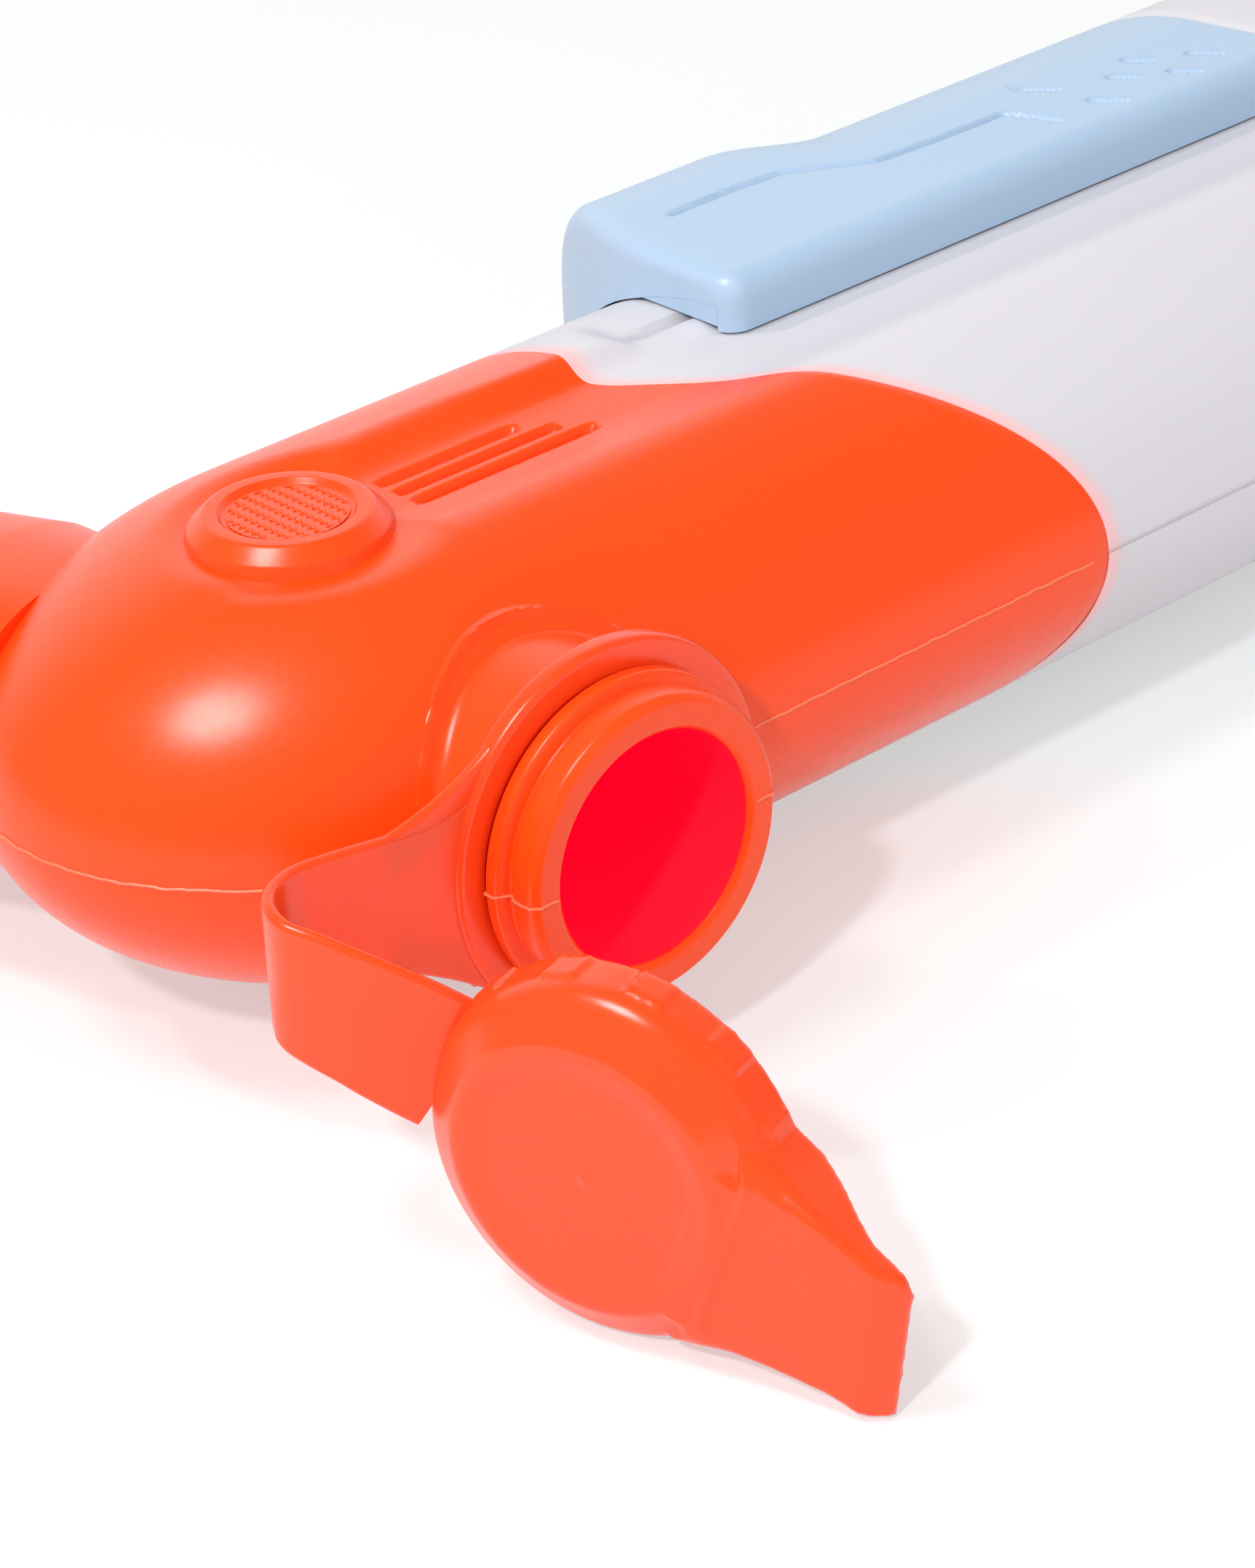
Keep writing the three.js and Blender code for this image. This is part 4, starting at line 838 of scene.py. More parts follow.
    def dimple(self, x: float, y: float) -> float:
        """Returns the depth of the dimples at a place of the disc."""
        if math.hypot(x, y) > self.disc_radius - 0.6:
            return 0.0
        u, v = x / self.dot_pitch[0], y / self.dot_pitch[1]
        u -= math.floor(u) + 0.5
        v -= math.floor(v) + 0.5
        away = math.hypot(u * self.dot_pitch[0], v * self.dot_pitch[1])
        return self.dot_depth * (1.0 - smooth_step(*self.dot_edge, away))

    def grip(self) -> Object:
        """Builds the raked grip with a soft root and returns it."""
        along = Vector((-math.sin(self.grip_rake), math.cos(self.grip_rake), 0))
        across = Vector((math.cos(self.grip_rake), math.sin(self.grip_rake), 0))
        middle = self.grip_front - self.grip_depth / math.cos(self.grip_rake)
        top = Vector((middle, self.barrel.half_height, 0))
        end, (root, root_run) = self.grip_end_round, self.grip_root
        stations = [(-15.0, 1.0, 0.0)]
        for a in quarter(12):
            stations.append((root + root_run * math.sin(a), 1.0, self.grip_flare * (1.0 - math.sin(a))))
        stations += [(s, 1.0, 0.0) for s in (20.0, 32.0, 44.0, 55.0)]
        for a in quarter(8):
            size = 1.0 - (end / self.grip_width) * (1.0 - math.cos(a))
            stations.append((self.grip_length - end * (1.0 - math.sin(a)), size, 0.0))
        rings = []
        for s, size, flare in stations:
            ring = []
            for t in full_turn(96):
                c, q = (math.copysign(abs(v) ** self.grip_square, v) for v in (math.cos(t), math.sin(t)))
                swell = 1.0 + self.grip_swell * math.sin(s * self.grip_wave) * (1.0 if c < 0 else 0.4)
                p = top + along * s + across * (c * (self.grip_depth * size * swell + flare))
                ring.append(p + Vector((0, 0, q * (self.grip_width * size + flare * 0.6))))
            rings.append(ring)
        bm = Bench.loft(rings, (True, True))
        return Bench.piece(bm, "grip", self.rack.tank, Body.MAIN, "tank")

    def flash(self) -> Object:
        """Builds the thin flash left along the mould's parting line and returns it."""
        out = self.barrel.half_height + self.flash_lift
        runs: list[list[Vector]] = [
            [Vector((x, -out, 0)) for x in self.spread(17.2, 69.5, 100)],
            [self.on_dome(a) for a in self.spread(-1.12, 0.75, 160)],
            [Vector((x, out, 0)) for x in self.spread(0.0, 33.0, 60)],
        ]
        for sign in (-1, 1):
            run = [Vector((sign * r, -h, 0)) for r, h in self.flash_neck]
            runs.append([a.lerp(b, k / 6) for a, b in zip(run, run[1:]) for k in range(6)])
        beads = []
        for run in runs:
            shakes = [sum(size * noise.noise(p * rate) for size, rate in self.flash_shake) for p in run]
            shaky = [p + Vector((0, 0, shake)) for p, shake in zip(run, shakes)]
            beads.append(Bench.tube(shaky, self.flash_radius))
        # The beads wear the flash finish, painted paler as a glint along the seam.
        return Bench.piece(Bench.joined(beads), "seam_flash", self.rack.flash, Body.MAIN, "tank")

    def on_dome(self, a: float) -> Vector:
        """Returns a place on the dome's seam, a radians from the rear pole."""
        high, long = self.barrel.half_height + self.flash_out, self.barrel.dome + self.flash_out
        return Vector((-long * math.cos(a), high * math.sin(a), 0))

    @staticmethod
    def spread(low: float, high: float, count: int) -> list[float]:
        """Returns evenly spread values with both ends."""
        return [mix(low, high, i / (count - 1)) for i in range(count)]


@dataclass
class Casing:
    """White casing in two halves with the block in front of the pump handle."""

    barrel: Barrel
    rack: FinishRack
    wall: float = 2.2
    gap: float = 0.04
    seam: float = 0.004
    edge_soft: float = 1.5
    side_slope: float = 0.85
    slot_y: float = 8.1
    slot_start: float = 47.2
    slot_width: float = 1.7
    slot_depth: float = 1.6
    slot_end: float = 148.0
    slot_edge: Flat = (-0.35, 0.35)
    flats_end: float = 150.0
    pad: float = 20.9
    pad_start: float = 44.0
    pad_slope: float = 0.6
    rim_steps: tuple[float, ...] = (0.0, 0.12, 0.35, 0.7, 1.1, 1.6)
    rim_inset: float = 0.08
    straight_start: float = 82.0
    nose_start: float = 149.5
    # Reach and strength of the painted pink light from the tank on the casing's white edge.
    painted_light_reach: Flat = (0.2, 2.6)
    painted_light_share: float = 0.75
    well_radius: float = 3.0
    block_length: float = 25.0
    block_nose: float = 10.0
    block_fall: float = 9.0
    block_section: float = 120.0
    mouth: tuple[Flat, ...] = ((12.6, 196.0), (8.0, 196.0), (4.95, 196.0), (4.95, 190.0))
    screw_spots: tuple[Flat, ...] = ((104, -25), (134, -25), (170, -20), (118, 25), (166, 22))

    def build(self) -> None:
        """Builds both halves."""
        for side in Side:
            self.half(side)
        self.screws()

    def skin(self, x: float, turn: float, inset: float) -> Vector:
        """Returns a place of the casing's outer skin with the handle's guide slots."""
        p = self.barrel.point(x, turn, inset, self.edge_soft, self.side_slope)
        if abs(p.z) > FLANK_HEIGHT and x < self.flats_end:
            if p.y > 0.5:
                level = self.pad + self.pad_slope * max(0.0, self.pad_start - x)
                p.z = math.copysign(smooth_min(abs(p.z), level, 1.0), p.z)
            away = distance_to_path(x, p.y, [(self.slot_start, self.slot_y), (self.slot_end, self.slot_y)])
            p.z -= math.copysign(trench(away, self.slot_width, self.slot_depth, self.slot_edge), p.z)
        return p

    def rings(self) -> list[list[Vector]]:
        """Returns the rings of the whole casing from its rear rim to the muzzle."""
        form = self.barrel
        turns, fronts = form.turns(), [front + self.gap for front in form.fronts()]
        rings = []
        edge, start = self.rim_steps[-1], self.straight_start
        for step in self.rim_steps:
            inset = self.rim_inset * fall(1.0 - step / edge)
            rings.append([self.skin(f + step, t, inset) for f, t in zip(fronts, turns)])
        for i in range(1, 33):
            rings.append([self.skin(mix(f + edge, start, i / 32), t, 0.0) for f, t in zip(fronts, turns)])
        stations = [start + 1.25 * i for i in range(1, 55)]
        nose = form.muzzle_x - self.nose_start
        stations += [self.nose_start + nose * (1.0 - (1.0 - i / 44) ** 1.5) for i in range(1, 45)]
        rings += [[self.skin(x, t, 0.0) for t in turns] for x in stations]
        for radius, x in self.mouth:
            circle = [(radius * math.cos(t), radius * math.sin(t)) for t in turns]
            rings.append([Vector((x, form.muzzle_y + y, z)) for y, z in circle])
        return rings

    def half(self, side: Side) -> Object:
        """Builds one half and returns it."""
        bm = Bench.loft(self.rings())
        self.cut(bm, side)
        name = side.name.lower()
        item = Bench.piece(
            bm, f"casing_{name}_shell", self.rack.casing, Body.MAIN, "casing", (f"casing_{name}",), 50.0)
        # Painted light: pink bleed of the orange tank, strongest at the joint and fading over the reach.
        edge = item.data.attributes.new(PAINTED_EDGE_LIGHT_ATTRIBUTE, "FLOAT", "POINT")
        for i, vert in enumerate(item.data.vertices):
            toy = vert.co / MM - TOY_ORIGIN
            away = toy.x - self.barrel.joint(toy.y) - self.gap
            edge.data[i].value = self.painted_light_share * (1.0 - smooth_step(*self.painted_light_reach, away))
        Bench.thicken(item, self.wall)
        if side is Side.RIGHT:
            self.wells(item)
        Bench.piece(self.block(side), f"nose_block_{name}", self.rack.casing, Body.MAIN, "casing", (), 50.0)
        return item

    def cut(self, bm: BMesh, side: Side) -> None:
        """Keeps the half of a skin on one side of the parting plane."""
        bmesh.ops.bisect_plane(
            bm, geom=bm.verts[:] + bm.edges[:] + bm.faces[:], plane_co=(0, 0, side.value * self.seam),
            plane_no=(0, 0, -side.value), clear_outer=True)

    def wells(self, item: Object) -> None:
        """Cuts the screw wells through the right half and lines them."""
        bore = self.well_radius
        tools = bmesh.new()
        for x, y in self.screw_spots:
            bmesh.ops.create_cone(
                tools, cap_ends=True, segments=32, radius1=bore, radius2=bore, depth=32.0,
                matrix=Matrix.Translation((x, y, -20.0)))
        tool = Bench.placed(Bench.moved(tools, TO_ROW), "well_tools")
        cut = item.modifiers.new("wells", "BOOLEAN")
        cut.operation = "DIFFERENCE"
        cut.object = tool
        cut.solver = "EXACT"
        Bench.baked(item, 50.0)
        bpy.data.objects.remove(tool)
        linings = []
        for x, y in self.screw_spots:
            high = -self.barrel.half_width * math.sqrt(1 - (y / self.barrel.half_height) ** 2) + 1.2
            wide, hole = bore + 1.0, 1.6
            profile = [(bore, high), (wide, high), (wide, -2.0), (hole, -2.0), (hole, -5.0), (bore, -5.0)]
            linings.append(Bench.moved(Bench.spun(profile, 32), Matrix.Translation((x, y, 0))))
        bm = Bench.joined(linings)
        for vert in bm.verts:
            height, width, shift = self.barrel.section(vert.co.x)
            share = min(1.0, abs(vert.co.y - shift) / height)
            vert.co.z = max(vert.co.z, 0.8 - width * math.sqrt(1.0 - share * share))
        Bench.piece(bm, "screw_wells", self.rack.casing, Body.MAIN, "casing")

    def block(self, side: Side) -> BMesh:
        """Builds half of the fixed block that carries on the handle's lines, and returns it."""
        rings = []
        handle = HandleForm()
        start, end = handle.front + 0.6, handle.front + self.block_length
        for k, a in enumerate(quarter(4)):
            back = start + 1.0 - math.sin(a)
            rings.append(self.block_ring(handle, back, handle.slant * (1 - k / 40), 1 - math.cos(a)))
        rings.reverse()
        for k in range(1, 17):
            x = mix(start + 1.0, end, k / 16)
            rings.append(self.block_ring(handle, x, handle.slant * (1 - k / 16), 0.0))
        for a in quarter(14)[1:]:
            x = end + self.block_nose * math.sin(a)
            rings.append(self.block_ring(handle, x, 0.0, (1 - math.cos(a)) * self.block_fall))
        return Bench.loft(Bench.faced(rings, side), (True, True))

    def block_ring(self, handle: HandleForm, x: float, slant: float, inset: float) -> list[Vector]:
        """Returns a ring of the block's left half, drawn in towards the casing by an inset."""
        outer, _ = handle.outline(self.block_section)
        ring = []
        height, width, shift = self.barrel.section(x)
        for y, z in outer:
            q = Vector((y, z))
            t = math.atan2(z / width, (y - shift) / height)
            foot = Vector((shift + (height - 1.0) * math.cos(t), (width - 1.0) * math.sin(t)))
            gap = (q - foot).length
            q = q.lerp(foot, min(1.0, inset / max(gap, 1e-6)))
            ring.append((q.x, q.y))
        low = Vector((ring[-1][0], self.seam))
        core = [(low.x - 9.0, self.seam), (shift + 8.0, 8.0), (ring[0][0] + 2.5, 16.0)]
        ring += core
        return [Vector((x + slant * (handle.slant_y - y), y, max(z, self.seam))) for y, z in ring]

    def screws(self) -> None:
        """Builds the casing's screws with crossed recesses."""
        heads = [Fastener().shape(x, y) for x, y in self.screw_spots]
        names = tuple(f"casing_screw_{i + 1}" for i in range(len(self.screw_spots)))
        Bench.piece(Bench.joined(heads), "casing_screws", self.rack.steel, Body.MAIN, "steel", names)


@dataclass
class Fastener:
    """Small pan-headed screw driven from the right side."""

    shank: float = 1.4
    head: float = 2.7
    head_height: float = 1.8
    seat_z: float = -5.15
    length: float = 11.0
    recess: tuple[float, float, float] = (3.0, 0.6, 0.5)
    recess_z: float = -1.7

    def shape(self, x: float, y: float) -> BMesh:
        """Builds the screw at a plan place and returns it."""
        profile = rounded([
            (0.0, -self.head_height, 0), (self.head * 0.9, -self.head_height, 0.7), (self.head, -0.3, 0.2),
            (self.shank, -0.3, 0.1), (self.shank, self.length - 1.5, 0.1), (0.0, self.length, 0),
        ], False, 4)
        bm = Bench.spun(profile, 28, closed=False)
        bars = []
        for turn in (0.0, math.pi / 2):
            bar = bmesh.new()
            place = Matrix.Translation((0, 0, self.recess_z)) @ Matrix.Rotation(turn, 4, "Z")
            bmesh.ops.create_cube(bar, size=1.0, matrix=place @ Matrix.Diagonal((*self.recess, 1)))
            bmesh.ops.bevel(
                bar, geom=bar.edges[:], offset=0.1, offset_type="OFFSET", segments=2, profile=0.5,
                affect="EDGES", material=-1)
            bars.append(bar)
        whole = Bench.joined([bm, *bars])
        return Bench.moved(whole, Matrix.Translation((x, y, self.seat_z)))


@dataclass
class HandleForm:
    """Section and ends of the pump handle."""

    rear: float = 52.5
    front: float = 139.0
    top: float = 0.9
    half: float = 26.6
    edge: float = 2.6
    wall: float = 2.1
    swell: Flat = (23.0, 42.0)
    waist: Flat = (16.0, 38.5)
    swell_end: float = 76.0
    waist_start: float = 88.0
    slant: float = 0.16
    slant_y: float = 16.0
    side_share: float = 0.28
    seam: float = 0.03
    floor: float = 20.62
    inner_height: float = 33.2
    inner_width: float = 23.5

    def outline(self, x: float) -> tuple[list[Flat], list[Flat]]:
        """Finds the left half of the section at x.

        Args:
            x: Place along the toy.

        Returns:
            The outer points from the upper wall to the underside, and as many inner points.
        """
        share = smooth_step(self.swell_end - 2.0, self.waist_start + 2.0, x)
        flat = mix(self.swell[0], self.waist[0], share)
        low = mix(self.swell[1], self.waist[1], share)
        side = self.half * self.side_share
        e = self.edge
        outer = [(self.top, mix(self.floor, self.half - e, i / 6)) for i in range(6)]
        for a in quarter(10)[:-1]:
            outer.append((self.top + e * (1 - math.cos(a)), self.half - e * (1 - math.sin(a))))
        outer += [(mix(self.top + e, flat, i / 64), self.half) for i in range(64)]
        for a in quarter(24)[:-1]:
            outer.append((flat + (low - flat) * math.sin(a), side + (self.half - side) * math.cos(a)))
        outer += [(low, mix(side, self.seam, i / 5)) for i in range(6)]
        face = self.top + self.wall
        start = math.acos(face / self.inner_height)
        inner = [(face, mix(self.floor, self.inner_width * math.sin(start), i / 6)) for i in range(6)]
        rest = len(outer) - len(inner)
        for i in range(rest):
            a = start * (1.0 - i / (rest - 1))
            inner.append((self.inner_height * math.cos(a), max(self.inner_width * math.sin(a), self.seam)))
        return outer, inner


@dataclass
class PumpHandle:
    """Pale blue pump handle in two halves that wraps the casing's lower half."""

    rack: FinishRack
    form: HandleForm = field(default_factory=HandleForm)
    rear_turn: float = 0.12
    rear_bow: float = 0.0125
    crease_y: float = 15.0
    rear_round: float = 2.6
    front_round: float = 0.9
    line_width: float = 1.1
    line_depth: float = 0.7
    line_edge: Flat = (-0.35, 0.2)
    middle_span: Flat = (0.031, 0.985)
    middle_steps: int = 230
    bed_length: float = 9.0
    bed_low: float = 21.2
    bed_end: float = 14.2
    bed_gap: float = 0.02
    line: tuple[Flat, ...] = (
        (61.3, 18.8), (69.3, 19.0), (76.4, 18.4), (81.2, 15.7), (85.6, 13.0), (94.3, 12.4), (104.2, 12.2),
        (105.6, 9.3), (106.7, 5.9),
    )
    dashes: tuple[tuple[Flat, Flat], ...] = (
        ((110.4, 16.0), (113.5, 12.3)), ((113.1, 7.6), (115.6, 4.6)), ((119.6, 10.8), (121.6, 8.4)),
        ((124.4, 13.1), (126.4, 10.7)), ((125.3, 6.9), (127.4, 4.3)), ((130.7, 9.1), (133.0, 6.3)),
    )
    screw_xs: tuple[float, ...] = (66.0, 75.0)
    screw_y: float = 36.7

    def build(self) -> None:
        """Builds both halves and their screws."""
        for side in Side:
            self.half(side)
            self.bed(side)
        heads = [Fastener().shape(x, self.screw_y) for x in self.screw_xs]
        Bench.piece(
            Bench.joined(heads), "handle_screws", self.rack.steel, Body.PUMP, "steel",
            ("handle_screw_1", "handle_screw_2"))

    def engraved(self, x: float, y: float) -> float:
        """Returns the depth of the engraved lines at a place of the flat."""
        away = distance_to_path(x, y, list(self.line))
        for dash in self.dashes:
            away = min(away, distance_to_path(x, y, list(dash)))
        return trench(away, self.line_width, self.line_depth, self.line_edge)

    def ring(self, share: float, inset: float, step: float) -> list[Vector]:
        """Finds one ring of the left half.

        Args:
            share: Place from the rear end, 0, to the front end, 1.
            inset: How far the outer skin is drawn in towards the inner one.
            step: How far it stands in front of the end that it rounds.

        Returns:
            The ring's places, outer then inner.
        """
        form = self.form
        outer, inner = form.outline(mix(form.rear, form.front, share))
        places = []
        for (y, z), (iy, iz) in zip(outer, inner):
            pull = min(1.0, inset / max(math.hypot(iy - y, iz - z), 1e-6))
            p = self.at(share, mix(y, iy, pull), mix(z, iz, pull), step)
            if z > form.half - 0.01:
                p.z -= self.engraved(p.x, p.y)
            places.append(p)
        places += [self.at(share, y, z, step) for y, z in reversed(inner)]
        return places

    def at(self, share: float, y: float, z: float, step: float) -> Vector:
        """Returns a place of the handle between its bowed rear end and its slanted front end."""
        past = max(0.0, y - self.crease_y)
        rear = self.form.rear + self.rear_turn * past + self.rear_bow * past * past
        front = self.form.front + self.form.slant * (self.form.slant_y - y)
        return Vector((mix(rear, front, share) + step, y, z))

    def bed(self, side: Side) -> Object:
        """Builds the slide bed that stays under the handle's rear end, and returns it."""
        form, gap = self.form, self.bed_gap
        top, low = [], []
        for i in range(33):
            y = mix(form.top + form.wall + gap, self.bed_end, i / 32)
            high = (form.inner_width - gap) * math.sqrt(1.0 - (y / (form.inner_height - gap)) ** 2)
            top.append((y, high))
            low.append((y, min(self.bed_low, high - 0.05)))
        section = top + low[::-1]
        ends = (form.rear, form.rear + self.bed_length)
        rings = [[Vector((x, y, side.value * z)) for y, z in section] for x in ends]
        bm = Bench.loft(rings, (True, True))
        return Bench.piece(bm, f"slide_bed_{side.name.lower()}", self.rack.handle, Body.MAIN, "handle")

    def half(self, side: Side) -> Object:
        """Builds one half of the handle and returns it."""
        rear, front, closed = self.rear_round, self.front_round, 99.0
        rings = [self.ring(0.0, closed, 0.0)]
        for a in quarter(9):
            rings.append(self.ring(0.0, rear * (1 - math.sin(a)), rear * (1 - math.cos(a))))
        for k in range(1, self.middle_steps + 1):
            rings.append(self.ring(mix(*self.middle_span, k / self.middle_steps), 0.0, 0.0))
        for a in quarter(4):
            rings.append(self.ring(1.0, front * (1 - math.cos(a)), -front * (1 - math.sin(a))))
        rings.append(self.ring(1.0, closed, 0.0))
        bm = Bench.welded(Bench.loft(Bench.faced(rings, side)))
        name = side.name.lower()
        return Bench.piece(
            bm, f"handle_{name}_shell", self.rack.handle, Body.PUMP, "handle", (f"pump_handle_{name}",),
            50.0)


@dataclass
class Closure:
    """Soft strap with its ring round the neck, and the push-on cap with a finger tab."""

    rack: FinishRack
    cap_centre: Vector = field(default_factory=lambda: Vector((-32.6, -68.7, -9.18)))
    cap_face: Vector = field(default_factory=lambda: Vector((-0.958, -0.288, -0.01)).normalized())
    tab_drop: float = math.radians(18.4)
    cap_radius: float = 17.6
    cap_depth: float = 8.4
    face_radius: float = 12.9
    bevel_depth: float = 3.0
    plug_length: float = 7.0
    tab_tip: float = 30.9
    tab_skew: float = 0.165
    skew_span: Flat = (19.0, 28.0)
    plate_end: float = 21.0
    plate_back: float = -1.9
    plate_edge: float = 0.5
    tab_up: tuple[Flat, ...] = (
        (10.0, 12.4), (13.4, 11.0), (16.9, 9.8), (20.6, 9.2), (23.2, 8.7), (26.5, 8.0), (28.6, 7.5),
        (30.0, 6.9), (30.9, 5.6))
    tab_up_edge: tuple[Flat, ...] = (
        (10.0, 4.3), (14.4, 3.4), (18.0, 1.8), (21.0, 1.05), (27.6, 0.85), (30.9, 0.4))
    tab_low: tuple[Flat, ...] = (
        (10.0, 12.6), (11.2, 12.9), (13.7, 11.6), (17.1, 9.6), (21.2, 8.4), (25.3, 7.6), (27.2, 7.6),
        (29.0, 7.8), (30.9, 7.4))
    tab_low_edge: tuple[Flat, ...] = ((10.0, 4.6), (14.0, 2.8), (17.0, 1.5), (21.0, 0.9), (30.9, 0.4))
    tab_front: tuple[Flat, ...] = ((10.0, -0.2), (16.0, -0.7), (28.2, -0.8), (30.9, -2.5))
    tab_back: tuple[Flat, ...] = (
        (10.0, -8.4), (17.0, -8.4), (20.6, -6.5), (23.2, -5.1), (26.5, -3.7), (29.0, -3.5), (30.9, -3.5))
    floor_z: float = -26.5
    pad_count: int = 13
    pad_phase: float = math.radians(94)
    ring_y: float = -36.15
    ring_bore: float = 15.3
    ring_radius: float = 18.7
    ring_height: float = 2.5
    strap_width: float = 13.4
    strap_flare: float = 8.0
    flare_reach: float = 4.0
    strap_thickness: float = 1.4
    bend_x: float = -41.7
    strap_z: float = 4.0
    web_turn: float = math.radians(54)
    web_inner: float = 16.6
    web_less: float = 0.06
    voxel: float = 0.00032
    pad_size: tuple[float, float, float] = (1.5, 3.5, 3.4)
    pad_gap: float = 0.66

    def build(self) -> None:
        """Builds the strap and the cap."""
        self.strap()
        self.cap()

    def basis(self) -> Matrix:
        """Returns the cap's frame: tab's way, cross way, face's way and centre."""
        face = self.cap_face
        level = (Vector((0, 0, 1)) - face * face.z).normalized()
        ahead = -face.cross(level)
        if ahead.y > 0:
            ahead.negate()
        tab = ahead * math.cos(self.tab_drop) - level * math.sin(self.tab_drop)
        turn = Matrix((tab, face.cross(tab), face)).transposed().to_4x4()
        return Matrix.Translation(self.cap_centre) @ turn

    def strap_path(self) -> list[Vector]:
        """Returns the middle line of the strap from the ring to the cap."""
        seat = self.basis() @ Vector((-self.cap_radius + 1.8, 0, -self.cap_depth * 0.5))
        y, x = self.ring_y, self.bend_x
        knots = [Vector(place) for place in (
            (-15.2, y, 0.4), (-20.0, y, 1.2), (-26.0, y, 2.4), (-32.0, y, 3.5), (-36.6, y - 0.15, 4.0),
            (x + 1.6, y - 1.9, 4.0), (x, y - 5.2, 3.6), (x + 1.1, y - 8.6, 2.6), (x + 4.2, y - 12.8, 0.0),
            seat)]
        path = []
        for i in range(len(knots) - 1):
            a, b = knots[max(i - 1, 0)], knots[i]
            c, d = knots[i + 1], knots[min(i + 2, len(knots) - 1)]
            for k in range(8):
                t = k / 8
                path.append(0.5 * (2 * b + (c - a) * t + (2 * a - 5 * b + 4 * c - d) * t * t
                                   + (3 * b - a - 3 * c + d) * t ** 3))
        path.append(knots[-1])
        return path

    def strap(self) -> Object:
        """Builds the ring and the strap as one soft piece and returns it."""
        half = self.ring_height / 2
        profile = rounded([
            (self.ring_bore, -half, 0.5), (self.ring_radius, -half, 0.8), (self.ring_radius, half, 0.8),
            (self.ring_bore, half, 0.5),
        ], True)
        ring = Bench.spun(profile, 112)
        Bench.moved(ring, Matrix.Translation((0, self.ring_y, 0)) @ Matrix.Rotation(math.pi / 2, 4, "X"))
        path = self.strap_path()
        rings = []
        reach = 0.0
        for i, p in enumerate(path):
            along = (path[min(i + 1, len(path) - 1)] - path[max(i - 1, 0)]).normalized()
            up = (Vector((0, 0, 1)) - along * along.z).normalized()
            across = up.cross(along)
            if i:
                reach += (p - path[i - 1]).length
            width = self.strap_width + self.strap_flare * math.exp(-reach / self.flare_reach)
            rings.append(self.band_ring(p, across, up, width))
        band = Bench.loft(rings, (True, True))
        bm = Bench.joined([ring, band, self.gusset(1.0), self.gusset(-1.0)])
        item = Bench.piece(
            bm, "cap_strap", self.rack.soft, None, "soft", ("strap_ring", "strap_lead"), 50.0)
        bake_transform(item)
        return item

    def gusset(self, way: float) -> BMesh:
        """Builds the web that runs from the ring into an edge of the strap.

        Args:
            way: 1 for the upper edge and -1 for the lower one.

        Returns:
            The web.
        """
        turn, r, low = self.web_turn, self.ring_radius - 0.25, self.web_inner
        start = Vector((-r * math.cos(turn), 0, way * r * math.sin(turn)))
        bend = Vector((-17.0, 0, way * 9.6 + 0.6))
        end = Vector((-26.5, 0, 2.4 + way * (self.strap_width / 2 + 0.02)))
        inner = Vector((-low * math.cos(turn / 2), 0, way * low * math.sin(turn / 2)))
        stop = Vector((-25.0, 0, 2.2 + way * 3.0))
        across = Vector((0, way, 0))
        rings = []
        for k in range(25):
            outer, foot = curve(start, bend, end, k / 24), inner.lerp(stop, k / 24)
            reach = outer - foot
            middle = (outer + foot) / 2 + Vector((0, self.ring_y, 0))
            rings.append(self.band_ring(middle, across, reach.normalized(), reach.length, self.web_less))
        return Bench.loft(rings, (True, True))

    def band_ring(
        self, p: Vector, across: Vector, up: Vector, width: float, less: float = 0.0,
    ) -> list[Vector]:
        """Finds a section of the strap with rounded edges.

        Args:
            p: Middle of the section.
            across: Way through the strap.
            up: Way over its width.
            width: Its width.
            less: How much thinner than the strap it is on each face.

        Returns:
            The section's places.
        """
        r = self.strap_thickness / 2 - less
        ring = []
        for base, shift in ((0.0, width / 2 - r), (math.pi, r - width / 2)):
            for k in range(9):
                a = base + math.pi * k / 8
                ring.append(p + across * (r * math.cos(a)) + up * (shift + r * math.sin(a)))
        return ring

    def cap(self) -> Object:
        """Builds the cap and its tab as one soft moulding and returns it."""
        r, d, f, p = self.cap_radius, self.cap_depth, self.face_radius, self.plug_length
        profile = rounded([
            (0.0, -0.5, 0), (f - 2.6, -0.45, 2.0), (f - 0.5, 0.0, 0.9), (f + 0.4, -0.08, 1.2),
            (r - 0.1, -self.bevel_depth, 3.0), (r, -d + 0.3, 0.3), (r - 0.3, -d, 0.3), (15.3, -d, 0.2),
            (15.3, -2.0, 0.5), (11.3, -2.0, 0.3), (11.3, 0.8 - p, 0.3), (10.7, -p, 0.3), (10.0, -p, 0.2),
            (10.0, -2.0, 0.4), (0.0, -2.0, 0),
        ], False, 6)
        bm = Bench.spun(profile, 144, closed=False)
        parts = [bm, self.nub()] + self.tab() + self.pads()
        whole = Bench.joined(parts)
        Bench.moved(whole, self.basis())
        for vert in whole.verts:
            vert.co.z = max(vert.co.z, self.floor_z)
        item = Bench.piece(whole, "cap_moulding", self.rack.soft, Body.CLOSURE, "soft", ("cap",), 80.0)
        melt = item.modifiers.new("melt", "REMESH")
        melt.mode = "VOXEL"
        melt.voxel_size = self.voxel
        ease = item.modifiers.new("ease", "SMOOTH")
        ease.factor = 0.5
        ease.iterations = 4
        Bench.baked(item, 80.0)
        LOG.info("cap_moulding melted: %d faces", len(item.data.polygons))
        return item

